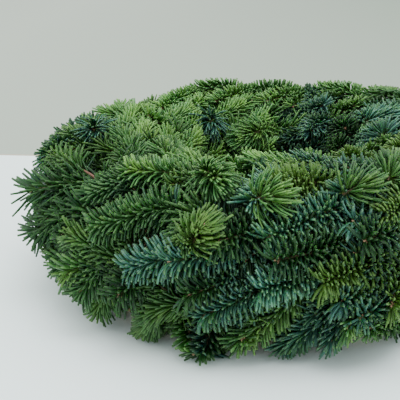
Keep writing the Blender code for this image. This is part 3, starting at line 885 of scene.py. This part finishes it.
visible = (reach_of(points).max(1) > SEEN_FROM_REACH) & (points[..., 2].min(1) > -TABLE_BEND)
for name, (low, high) in BARE.items():
    visible &= (shoot != seen.index(name)) | (share < low) | (share > high)
held = hold_needles(points, skin)
print(f"share of needles held back: {(np.abs(held - points) > TINY).any((1, 2)).mean():.2f}")
points = held
visible &= (off_straw(points[:, 1:]) > STRAW_SURFACE).all(1)
points, outward, shoot, share = points[visible], outward[visible], shoot[visible], share[visible]
broad, upper = broad[visible], np.cos(np.radians(spin[visible]))
print(f"{len(points)} needles")

# %% Sweep the profile along each needle
NEEDLE_HALF_WIDTH = 0.00122
NEEDLE_HALF_THICK = 0.00094
STATION_SIZE = np.array([0.86, 1.0, 0.74])
PROFILE = np.array([(0.0, 1.0), (-1.0, -0.6), (1.0, -0.6)])


def sweep_needles(points, outward, broad):
    """Corners of each needle: its root, then three triangles set square to the path, each corner
    at width times x plus thickness times y of the profile."""
    heading = unit(np.gradient(points, axis=1))[:, 1:]
    wide = unit(np.cross(heading, outward[:, None]))
    thick = np.cross(wide, heading)
    size = STATION_SIZE[None, :, None, None] * broad[:, None, None, None]
    rings = points[:, 1:, None] + size * (
        NEEDLE_HALF_WIDTH * PROFILE[None, None, :, :1] * wide[:, :, None]
        + NEEDLE_HALF_THICK * PROFILE[None, None, :, 1:] * thick[:, :, None]
    )
    return np.concatenate([points[:, :1], rings.reshape(len(points), -1, 3)], axis=1)


def needle_faces():
    """Faces of one needle as corner lists: a fan at the root, quads between rings, a blunt end."""
    faces = [(0, 1 + k, 1 + (k + 1) % 3) for k in range(3)]
    for ring in (1, 4):
        faces += [(ring + k, ring + 3 + k, ring + 3 + (k + 1) % 3, ring + (k + 1) % 3) for k in range(3)]
    faces.append((9, 8, 7))
    return faces


corners = sweep_needles(points, outward, broad)
print(f"{sum(len(face) - 2 for face in needle_faces()) * len(corners)} triangles")

# %% [markdown]
# ## Arrays into meshes
#
# One function turns a block of equal pieces into a mesh: the faces of one copy, repeated with
# their numbers moved on, all in a single call. A grid that closes both ways is one such copy, with
# many quads. Each corner carries numbers that the finish reads: how far along the needle it is,
# whether it is the keel or an edge, the shoot's colour, and a lightness of its own, which also
# holds painted shade for deep twigs and dark shoots and painted light for the lightest green ones.

# %% Meshes, and the pieces made of them
def repeated_mesh(name, corners, faces, numbers):
    """Mesh of copies with the same faces: corner numbers of copy k are moved on by k copies."""
    copies, each = corners.shape[:2]
    loops = np.concatenate([np.array(face) for face in faces])
    sizes = np.array([len(face) for face in faces])
    mesh = bpy.data.meshes.new(name)
    mesh.vertices.add(copies * each)
    mesh.vertices.foreach_set("co", corners.astype(np.float32).ravel())
    moved = (loops[None] + each * np.arange(copies)[:, None]).astype(np.int32)
    starts = np.concatenate([[0], np.cumsum(np.tile(sizes, copies))[:-1]]).astype(np.int32)
    mesh.loops.add(moved.size)
    mesh.loops.foreach_set("vertex_index", moved.ravel())
    mesh.polygons.add(len(starts))
    mesh.polygons.foreach_set("loop_start", starts)
    mesh.update(calc_edges=True)
    for label, values in numbers.items():
        values = np.broadcast_to(values, (copies, each)).astype(np.float32)
        mesh.attributes.new(label, "FLOAT", "POINT").data.foreach_set("value", values.ravel())
    mesh.shade_smooth()
    return mesh


def grid_mesh(name, points, numbers):
    """Mesh of a grid of points, joined to itself in both directions."""
    rows, columns = points.shape[:2]
    row, column = np.meshgrid(np.arange(rows), np.arange(columns), indexing="ij")
    next_row, next_column = (row + 1) % rows, (column + 1) % columns
    pairs = ((row, column), (next_row, column), (next_row, next_column), (row, next_column))
    quads = np.stack([r * columns + c for r, c in pairs], axis=-1).reshape(-1, 4)
    numbers = {label: values.reshape(1, -1) for label, values in numbers.items()}
    return repeated_mesh(name, points.reshape(1, -1, 3), quads, numbers)


def show(mesh, finish, node, replaced=False):
    """A mesh as a piece of the wreath with its finish, attached to the root; it may replace a node, which is
    then hidden.
    """
    piece = bpy.data.objects.new(mesh.name, mesh)
    bpy.context.scene.collection.objects.link(piece)
    mesh.materials.append(finish)
    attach(piece, "root")
    if replaced:
        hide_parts(node)


def show_bunches(label, corners, faces, numbers, finish, bunch, replaced=False):
    """One piece for each bunch, of the copies that belong to it."""
    for number, node in enumerate(bunch_names):
        own = bunch == number
        own_numbers = {key: values[own] for key, values in numbers.items()}
        mesh = repeated_mesh(node.replace("sprigs", label), corners[own], faces, own_numbers)
        show(mesh, finish, node, replaced)
    print(f"{len(bunch_names)} pieces of {label}")


# %% [markdown]
# ## Finishes
#
# A few helpers keep the node trees short. All finishes share the mottle group, a noise in the
# space of the piece, stretched to a range, so that no surface has one flat colour.

# %% Helpers for node trees
MIX_SHARE, MIX_ONE, MIX_TWO, MIX_RESULT = 0, 6, 7, 2
WHITE = (1, 1, 1, 1)


def set_inputs(tree, node, inputs):
    """A node's sockets set to values, or linked to other sockets."""
    for key, value in inputs.items():
        if isinstance(value, bpy.types.NodeSocket):
            tree.links.new(value, node.inputs[key])
        else:
            node.inputs[key].default_value = value


def add_node(tree, kind, inputs, **settings):
    """A node with its settings and inputs."""
    node = tree.nodes.new(kind)
    for key, value in settings.items():
        setattr(node, key, value)
    set_inputs(tree, node, inputs)
    return node


def mix_colours(tree, share, one, two, mode="MIX"):
    """Two colours mixed by a share; a colour is four numbers or a socket."""
    inputs = {MIX_SHARE: share, MIX_ONE: one, MIX_TWO: two}
    return add_node(tree, "ShaderNodeMix", inputs, data_type="RGBA", blend_type=mode).outputs[MIX_RESULT]


def attribute(tree, name):
    """The number that a mesh carries under a name."""
    return add_node(tree, "ShaderNodeAttribute", {}, attribute_name=name).outputs["Fac"]


def ranged(tree, value, low, high, to_low=0.0, to_high=1.0):
    """A value stretched from one range to another and held there."""
    inputs = {"Value": value, "From Min": low, "From Max": high, "To Min": to_low, "To Max": to_high}
    return add_node(tree, "ShaderNodeMapRange", inputs).outputs["Result"]


def ramp(tree, value, stops):
    """A value turned into a colour through stops (position, colour)."""
    node = add_node(tree, "ShaderNodeValToRGB", {"Fac": value})
    elements = node.color_ramp.elements
    while len(elements) < len(stops):
        elements.new(0.5)
    for element, (position, colour) in zip(elements, stops):
        element.position = position
        element.color = (*colour, 1)
    return node.outputs["Color"]


def finish_named(name):
    """A new material and its Principled shader."""
    finish = bpy.data.materials.new(name)
    finish.use_nodes = True
    return finish, finish.node_tree, finish.node_tree.nodes["Principled BSDF"]


print("helpers ready")

# %% The mottle group
def mottle_group():
    """Noise on object coordinates, from Low to High; Scale is in patches per metre."""
    group = bpy.data.node_groups.new("mottle", "ShaderNodeTree")
    for label, value in (("Scale", 200.0), ("Low", 0.8), ("High", 1.2)):
        socket = group.interface.new_socket(label, in_out="INPUT", socket_type="NodeSocketFloat")
        socket.default_value = value
    group.interface.new_socket("Value", in_out="OUTPUT", socket_type="NodeSocketFloat")
    entry = group.nodes.new("NodeGroupInput")
    place = group.nodes.new("ShaderNodeTexCoord").outputs["Object"]
    scale, low, high = (entry.outputs[label] for label in ("Scale", "Low", "High"))
    noise = add_node(group, "ShaderNodeTexNoise", {"Vector": place, "Scale": scale, "Detail": 3.0})
    spread = ranged(group, noise.outputs["Fac"], 0.3, 0.7, low, high)
    set_inputs(group, group.nodes.new("NodeGroupOutput"), {"Value": spread})
    return group


MOTTLE = mottle_group()


def mottle(tree, scale, low=0.0, high=1.0):
    """The mottle group placed in a material."""
    inputs = {"Scale": scale, "Low": low, "High": high}
    return add_node(tree, "ShaderNodeGroup", inputs, node_tree=MOTTLE).outputs["Value"]


def bumps(tree, scale, strength, distance):
    """The slopes of a surface with small bumps, as high as the mottle group says."""
    inputs = {"Height": mottle(tree, scale), "Strength": strength, "Distance": distance}
    return add_node(tree, "ShaderNodeBump", inputs).outputs["Normal"]


print("group sockets:", [item.name for item in MOTTLE.interface.items_tree])

# %% [markdown]
# A needle is dark at its edges and lighter along its keel: partly the wax that lies there, and
# partly a painted highlight along its top with painted shade at its edges. Its tip is pale, partly
# its own colour and mostly a painted highlight on its blunt end, and its foot is yellowish. The wax
# makes the blue shoots blue, so its colour follows the shoot's number.

# %% Needle finish
NEEDLE_STOPS = (
    (0.00, (0.031, 0.082, 0.008)),
    (0.35, (0.010, 0.055, 0.008)),
    (0.65, (0.004, 0.034, 0.007)),
    (1.00, (0.004, 0.034, 0.024)),
)
# Keel colours: the wax, partly real and partly lightened as a painted highlight along the needle's top
KEEL_WAX_AND_HIGHLIGHT_STOPS = (
    (0.00, (0.082, 0.160, 0.030)),
    (0.35, (0.043, 0.114, 0.032)),
    (0.65, (0.019, 0.072, 0.024)),
    (1.00, (0.045, 0.122, 0.098)),
)
# Pale tip: partly the needle's own paler tip, mostly a painted highlight on its blunt end
TIP_TINT_AND_HIGHLIGHT = (0.24, 0.36, 0.17, 1)
FOOT_COLOUR = (0.085, 0.125, 0.024, 1)
SHADED_TINT = (0.78, 1.08, 0.70, 1)
PATCH_TONE = 0.14


def needle_finish():
    """Fir needles: colour from the shoot's number, wax and a painted highlight on the keel, painted shade at
    the edges, a mostly painted pale tip, a green tint of painted shade on dim needles, a waxy gloss.
    """
    finish, tree, shader = finish_named("fir_needles")
    way, light = attribute(tree, "way"), attribute(tree, "light")
    patched = {0: attribute(tree, "tone"), 1: mottle(tree, 38.0, -PATCH_TONE, PATCH_TONE)}
    number = add_node(tree, "ShaderNodeMath", patched, operation="ADD", use_clamp=True).outputs[0]
    # Painted highlight and shade: the keel takes the wax colour, the edges stay darker
    keel_wax_and_highlight = ranged(tree, attribute(tree, "edge"), 0.1, 0.9, 0.95, 0.05)
    colour = mix_colours(tree, keel_wax_and_highlight, ramp(tree, number, NEEDLE_STOPS), ramp(tree, number, KEEL_WAX_AND_HIGHLIGHT_STOPS))
    colour = mix_colours(tree, ranged(tree, way, 0.0, 0.35, 0.8, 0.0), colour, FOOT_COLOUR)
    # Painted highlight at the tip, partly the tip's own paler colour
    colour = mix_colours(tree, ranged(tree, way, 0.74, 0.97, 0.0, 0.13), colour, TIP_TINT_AND_HIGHLIGHT)
    speckle = {0: light, 1: mottle(tree, 260.0, 0.82, 1.18)}
    bright = add_node(tree, "ShaderNodeMath", speckle, operation="MULTIPLY").outputs[0]
    shaded = mix_colours(tree, ranged(tree, light, 0.35, 0.85), SHADED_TINT, WHITE)
    for tint in (bright, shaded):
        colour = mix_colours(tree, 1.0, colour, tint, "MULTIPLY")
    inputs = {"Base Color": colour, "Roughness": mottle(tree, 420.0, 0.36, 0.54), "Specular IOR Level": 0.20}
    inputs |= {"Subsurface Weight": 0.35, "Subsurface Radius": (0.6, 1.0, 0.3), "Subsurface Scale": 0.0015}
    set_inputs(tree, shader, inputs)
    return finish


fir = needle_finish()
print("finish:", fir.name)

# %% Needles of every bunch
NEEDLE_LIGHT_STRAY = 0.13
YOUNG_FROM = 0.6
YOUNG_LIGHT = 0.22
YOUNG_TONE = -0.10
UPPER_TONE = -0.13
UPPER_MIDDLE = 0.34
NEEDLE_TONE_STRAY = 0.07
LIGHT_RANGE = (0.2, 2.2)

shape = corners.shape[:2]
way = np.broadcast_to(np.concatenate([[0.0], np.repeat(STATIONS[1:], 3)]), shape)
edge = np.broadcast_to(np.concatenate([[0.5], np.tile([0.0, 1.0, 1.0], 3)]), shape)
young = np.clip((share - YOUNG_FROM) / (1 - YOUNG_FROM), 0, 1)
# Each needle's lightness carries the painted shade of its kind and the painted light or shade of its tone
needle_light = lightness[shoot] * (1 + needle_rng.normal(0, NEEDLE_LIGHT_STRAY, len(shoot)))
needle_light = np.clip(needle_light * (1 + YOUNG_LIGHT * young), *LIGHT_RANGE)
needle_tone = tone[shoot] + needle_rng.normal(0, NEEDLE_TONE_STRAY, len(shoot))
needle_tone = np.clip(needle_tone + YOUNG_TONE * young + UPPER_TONE * (upper - UPPER_MIDDLE), 0, 1)
numbers = {"way": way, "edge": edge, "tone": needle_tone[:, None], "light": needle_light[:, None]}
show_bunches("needles", corners, needle_faces(), numbers, fir, bunch[shoot], True)

# %% [markdown]
# ## Twigs and buds
#
# Between the needles show thin brown twigs, and at each tip sits a blunt bud with two smaller
# ones beside it. A twig is a five-sided tube that thins towards its bud. A bud is an egg, worked
# out from two angles. Both, and the wire, are rings of corners set along a line.

# %% Twig tubes
TWIG_SIDES = 5
TWIG_TIP = 0.0008
TWIG_POWER = 1.5
RED_STEM = 0.9
RED_FADE = 0.1
SKEW = np.array([0.31, 0.17, 0.93])


def rings_of(aside, above, sides):
    """Unit rings of corners: cos u times one direction plus sin u times another."""
    u = 2 * np.pi * np.arange(sides)[:, None] / sides
    return np.cos(u) * aside[..., None, :] + np.sin(u) * above[..., None, :]


def rings_square_to(heading, sides):
    """Unit rings of corners square to each heading. No line runs along SKEW."""
    aside = unit(np.cross(heading, SKEW))
    return rings_of(aside, np.cross(aside, heading), sides)


def tube_faces(rings, sides):
    """Quads between neighbouring rings, and one flat face at each end."""
    faces = [tuple(reversed(range(sides)))]
    for ring in range(rings - 1):
        for k in range(sides):
            a, b = ring * sides + k, ring * sides + (k + 1) % sides
            faces.append((a, b, b + sides, a + sides))
    faces.append(tuple(range((rings - 1) * sides, rings * sides)))
    return faces


share_on_line = np.linspace(0, 1, LINE_POINTS)
thick = twig_thick[:, None]
twig_radius = (thick + (TWIG_TIP - thick) * share_on_line[None] ** TWIG_POWER)[..., None, None]
twig_rings = lines[:, :, None] + twig_radius * rings_square_to(unit(np.gradient(lines, axis=1)), TWIG_SIDES)
twig_corners = twig_rings.reshape(len(lines), -1, 3)
print("twigs:", twig_corners.shape)


# %% Twigs of every bunch
def bark_finish():
    """Young bark: brown with grey and reddish patches and a slight roughness of surface."""
    finish, tree, shader = finish_named("fir_bark")
    colour = mix_colours(tree, mottle(tree, 150.0), (0.045, 0.036, 0.014, 1), (0.120, 0.080, 0.036, 1))
    colour = mix_colours(tree, attribute(tree, "red"), colour, (0.150, 0.062, 0.040, 1))
    inputs = {"Base Color": colour, "Roughness": 0.7, "Normal": bumps(tree, 900.0, 0.5, 0.0004)}
    set_inputs(tree, shader, inputs)
    return finish


red = np.zeros((len(lines), LINE_POINTS))
for name, (low, high) in BARE.items():
    red[seen.index(name)] = RED_STEM * ((share_on_line > low - RED_FADE) & (share_on_line < high + RED_FADE))
numbers = {"red": np.repeat(red, TWIG_SIDES, axis=1)}
show_bunches("twigs", twig_corners, tube_faces(LINE_POINTS, TWIG_SIDES), numbers, bark_finish(), bunch)

# %% Buds
BUD_RINGS = 4
BUD_SIDES = 5
BUD_LENGTH = 0.0052
BUD_RADIUS = 0.0018
BUD_SPAN = (0.06, 0.97)
BUD_POWER = 0.8
BUD_SINK = 0.0012
TWIG_BUD_SIZE = 0.75
# The bud at the tip and the two beside it: how far each leans to the side in degrees, and its size
BUD_PLACES = ((0, 1.0), (48, 0.7), (-48, 0.7))


def bud_corners(foot, axis, aside, size):
    """Eggs of revolution: at height share v the radius is sin(pi v^0.8), slightly fuller below."""
    v = np.linspace(*BUD_SPAN, BUD_RINGS)[None, :, None, None]
    radius = BUD_RADIUS * np.sin(np.pi * v**BUD_POWER)
    ring = rings_of(aside, np.cross(axis, aside), BUD_SIDES)[:, None]
    egg = BUD_LENGTH * v * axis[:, None, None] + radius * ring
    return (foot[:, None, None] + size[:, None, None, None] * egg).reshape(len(foot), -1, 3)


tip, tip_axis = along(lines, np.arange(len(lines)), np.ones(len(lines)))
tip_out = outward_of(tip, tip_axis)
tip_aside = np.cross(tip_axis, tip_out)
parts = []
for lean_deg, size in BUD_PLACES:
    own = np.flatnonzero(leads if lean_deg else ~hidden)
    lean = math.radians(lean_deg)
    axis = tip_axis[own] * math.cos(lean) + tip_aside[own] * math.sin(lean)
    sizes = np.where(leads[own], size, TWIG_BUD_SIZE * size)
    parts.append((own, tip[own] - BUD_SINK * tip_axis[own], axis, tip_out[own], sizes))
bud_shoot, *bud_shape = (np.concatenate(part) for part in zip(*parts))
buds = bud_corners(*bud_shape)
print(f"{len(buds)} buds")


# %% Buds of every bunch
def bud_finish():
    """Buds: brown scales under pale, pinkish resin, mottled in patches."""
    finish, tree, shader = finish_named("fir_buds")
    colour = mix_colours(tree, mottle(tree, 320.0), (0.13, 0.060, 0.030, 1), (0.32, 0.19, 0.11, 1))
    set_inputs(tree, shader, {"Base Color": colour, "Roughness": mottle(tree, 500.0, 0.3, 0.6)})
    return finish


show_bunches("buds", buds, tube_faces(BUD_RINGS, BUD_SIDES), {}, bud_finish(), bunch[bud_shoot])

# %% [markdown]
# ## The straw ring and its wire
#
# Both are closed grids. The ring's surface comes from an angle round the wreath and one round the
# tube. Its strands are low ridges that wind slowly round it, its underside is cut flat, and a
# shallow notch takes each turn of the wire.

# %% The straw ring
STRAW_ROWS = 144
STRAW_COLUMNS = 72
STRAW_STRANDS = 24
STRAW_TWIST = 2
STRAND_DEPTH = 0.0016
NOTCH_Z = 0.0018
STRAW_SEED = 9


def straw_surface():
    """Tube of radius r - d (1 - |cos(n v / 2 + k u)|), with u round the wreath, v round the tube,
    n strands and k windings, held above the table and above the wire in its notches."""
    u = np.linspace(0, 360, STRAW_ROWS, endpoint=False)[:, None] + np.zeros((1, STRAW_COLUMNS))
    v = np.linspace(0, 360, STRAW_COLUMNS, endpoint=False)[None] + np.zeros((STRAW_ROWS, 1))
    wave = (STRAW_STRANDS * v + 2 * STRAW_TWIST * u) / 360
    ridge = np.abs(np.cos(np.pi * wave))
    section = straw_section(v, STRAW_TUBE_R - STRAND_DEPTH * (1 - ridge))
    section[..., 1] = np.maximum(section[..., 1], np.where(u % TURN_DEG == 0, NOTCH_Z, 0.0))
    return turned(section, u), ridge, np.round(wave).astype(int) % STRAW_STRANDS


straw_points, straw_ridge, straw_strand = straw_surface()
strand_light = np.random.default_rng(STRAW_SEED).uniform(0, 1, STRAW_STRANDS)[straw_strand]
straw_mesh = grid_mesh("straw_ring_strands", straw_points, {"ridge": straw_ridge, "strand": strand_light})
print(f"straw ring: {len(straw_mesh.polygons)} faces")

# %% The binding wire
WIRE_ARC_POINTS = 17
WIRE_SIDES = 6


def wire_surface():
    """The coil: two points on the underside and an arc over the stems at each turn, all ringed."""
    under = np.array([[MOUND_R + side * WIRE_UNDER_HALF, WIRE_UNDER_Z] for side in (-1, 1)])
    line = []
    for turn in range(TURNS):
        around, ring = wire_deg(turn, np.linspace(0, WIRE_LEGS, WIRE_ARC_POINTS))
        line.append(turned(under, np.full(2, TURN_DEG * turn)))
        line.append(turned(straw_section(around, WIRE_AROUND_R), ring))
    line = np.concatenate(line)
    heading = unit(np.roll(line, -1, axis=0) - np.roll(line, 1, axis=0))
    return line[:, None] + WIRE_R * rings_square_to(heading, WIRE_SIDES)


wire_mesh = grid_mesh("binding_wire_coil", wire_surface(), {})
print(f"wire: {len(wire_mesh.polygons)} faces")


# %% Straw and wire finishes
def straw_finish():
    """Straw: every strand has its own tone, with grey-brown patches and painted shade in the grooves."""
    finish, tree, shader = finish_named("straw_strands")
    painted_groove_shade = ranged(tree, attribute(tree, "ridge"), 0.0, 0.5, 0.85, 0.0)
    colour = mix_colours(tree, attribute(tree, "strand"), (0.24, 0.16, 0.06, 1), (0.42, 0.32, 0.15, 1))
    colour = mix_colours(tree, mottle(tree, 90.0, 0.0, 0.6), colour, (0.15, 0.105, 0.050, 1))
    # Painted shade: the grooves between strands are darkened nearly to black
    colour = mix_colours(tree, painted_groove_shade, colour, (0.03, 0.02, 0.01, 1))
    inputs = {"Base Color": colour, "Roughness": 0.6, "Normal": bumps(tree, 700.0, 0.4, 0.0005)}
    set_inputs(tree, shader, inputs)
    return finish


def wire_finish():
    """Binding wire: dark green lacquer, mottled in colour and duller in patches."""
    finish, tree, shader = finish_named("lacquered_wire")
    colour = mix_colours(tree, mottle(tree, 200.0), (0.02, 0.06, 0.02, 1), (0.05, 0.12, 0.04, 1))
    set_inputs(tree, shader, {"Base Color": colour, "Roughness": mottle(tree, 300.0, 0.28, 0.5)})
    return finish


show(straw_mesh, straw_finish(), "straw_ring", True)
show(wire_mesh, wire_finish(), "binding_wire", True)
print("straw and wire in place")

# %% [markdown]
# ## Table, light and camera
#
# The wreath lies on a plain white table in front of a plain pale wall. One wide floor does for
# both: past the line where the table would end, its colour turns to the wall's, which grows darker
# towards the right as painted shade. Nothing stands up behind the wreath, so every other side can
# be looked at too.

# %% The floor
TABLE_BACK_Y = 0.402
TABLE_EDGE = 0.008
FLOOR_HALF = 4.0
LINE_BLUR = 0.001
TABLE_COLOUR = (0.855, 0.95, 0.94, 1)
# Wall grey from left to right: the darker right end is painted shade of the light from the left
WALL_LEFT = (0.385, 0.416, 0.356, 1)
WALL_RIGHT_SHADED = (0.225, 0.272, 0.212, 1)
WALL_SHADE_FADE_X = 0.9
EDGE_COLOUR = (0.42, 0.37, 0.29, 1)


def floor_finish():
    """Matt white with a beige edge strip, turning to the wall's grey behind it, with painted shade that
    darkens the wall towards the right.
    """
    finish, tree, shader = finish_named("pale_floor")
    place = tree.nodes.new("ShaderNodeTexCoord").outputs["Object"]
    x, y, _ = add_node(tree, "ShaderNodeSeparateXYZ", {"Vector": place}).outputs
    wall_and_shade = mix_colours(tree, ranged(tree, x, -WALL_SHADE_FADE_X, WALL_SHADE_FADE_X), WALL_LEFT, WALL_RIGHT_SHADED)
    behind = ranged(tree, y, TABLE_BACK_Y - LINE_BLUR, TABLE_BACK_Y + LINE_BLUR)
    edge = ranged(tree, y, TABLE_BACK_Y - TABLE_EDGE, TABLE_BACK_Y - TABLE_EDGE + LINE_BLUR)
    colour = mix_colours(tree, behind, mix_colours(tree, edge, TABLE_COLOUR, EDGE_COLOUR), wall_and_shade)
    set_inputs(tree, shader, {"Base Color": colour, "Roughness": 0.75})
    return finish


floor_mesh = bpy.data.meshes.new("floor")
floor_corners = [(x, y, 0) for x, y in ((-1, -1), (1, -1), (1, 1), (-1, 1))]
floor_mesh.from_pydata((FLOOR_HALF * np.array(floor_corners)).tolist(), [], [(0, 1, 2, 3)])
floor_mesh.materials.append(floor_finish())
floor = bpy.data.objects.new("floor", floor_mesh)
bpy.context.scene.collection.objects.link(floor)
print("floor:", FLOOR_HALF * 2, "m wide")


# %% The lights
# Each light: kind, place, aim, size (a sun's as an angle, an area's as a side), power and colour
LIGHTS = {
    "sky_window": ("SUN", (-0.45, 0.10, 1.4), (0, 0, 0), math.radians(90), 1.5, (1.0, 0.995, 0.97)),
    "room": ("AREA", (0.4, -0.9, 3.0), (0, 0, 0.05), 1.8, 66, (0.94, 0.97, 1.0)),
}
SKY_COLOUR = (0.84, 0.92, 0.91, 1)
SKY_STRENGTH = 1.82

for name, (kind_of_light, place, aim, size, power, colour) in LIGHTS.items():
    lamp = bpy.data.lights.new(name, kind_of_light)
    lamp.energy, lamp.color = power, colour
    setattr(lamp, "angle" if kind_of_light == "SUN" else "size", size)
    holder = bpy.data.objects.new(name, lamp)
    holder.location = place
    holder.rotation_euler = (Vector(aim) - Vector(place)).to_track_quat("-Z", "Y").to_euler()
    bpy.context.scene.collection.objects.link(holder)
world = bpy.data.worlds.new("room_light")
world.use_nodes = True
background = world.node_tree.nodes["Background"]
set_inputs(world.node_tree, background, {"Color": SKY_COLOUR, "Strength": SKY_STRENGTH})
bpy.context.scene.world = world
print("two lights and a pale sky")

# %% The camera
SENSOR_MM = 36
camera = bpy.data.cameras.new("photo_camera")
camera.sensor_width = SENSOR_MM
camera.lens = EYE_FOCAL_PX / FRAME_PX * camera.sensor_width
viewer = bpy.data.objects.new("photo_camera", camera)
viewer.location = EYE
viewer.rotation_euler = (math.radians(90 - EYE_PITCH_DEG), 0, math.radians(-EYE_YAW_DEG))
bpy.context.scene.collection.objects.link(viewer)
bpy.context.scene.camera = viewer
print(f"lens {camera.lens:.1f} mm")
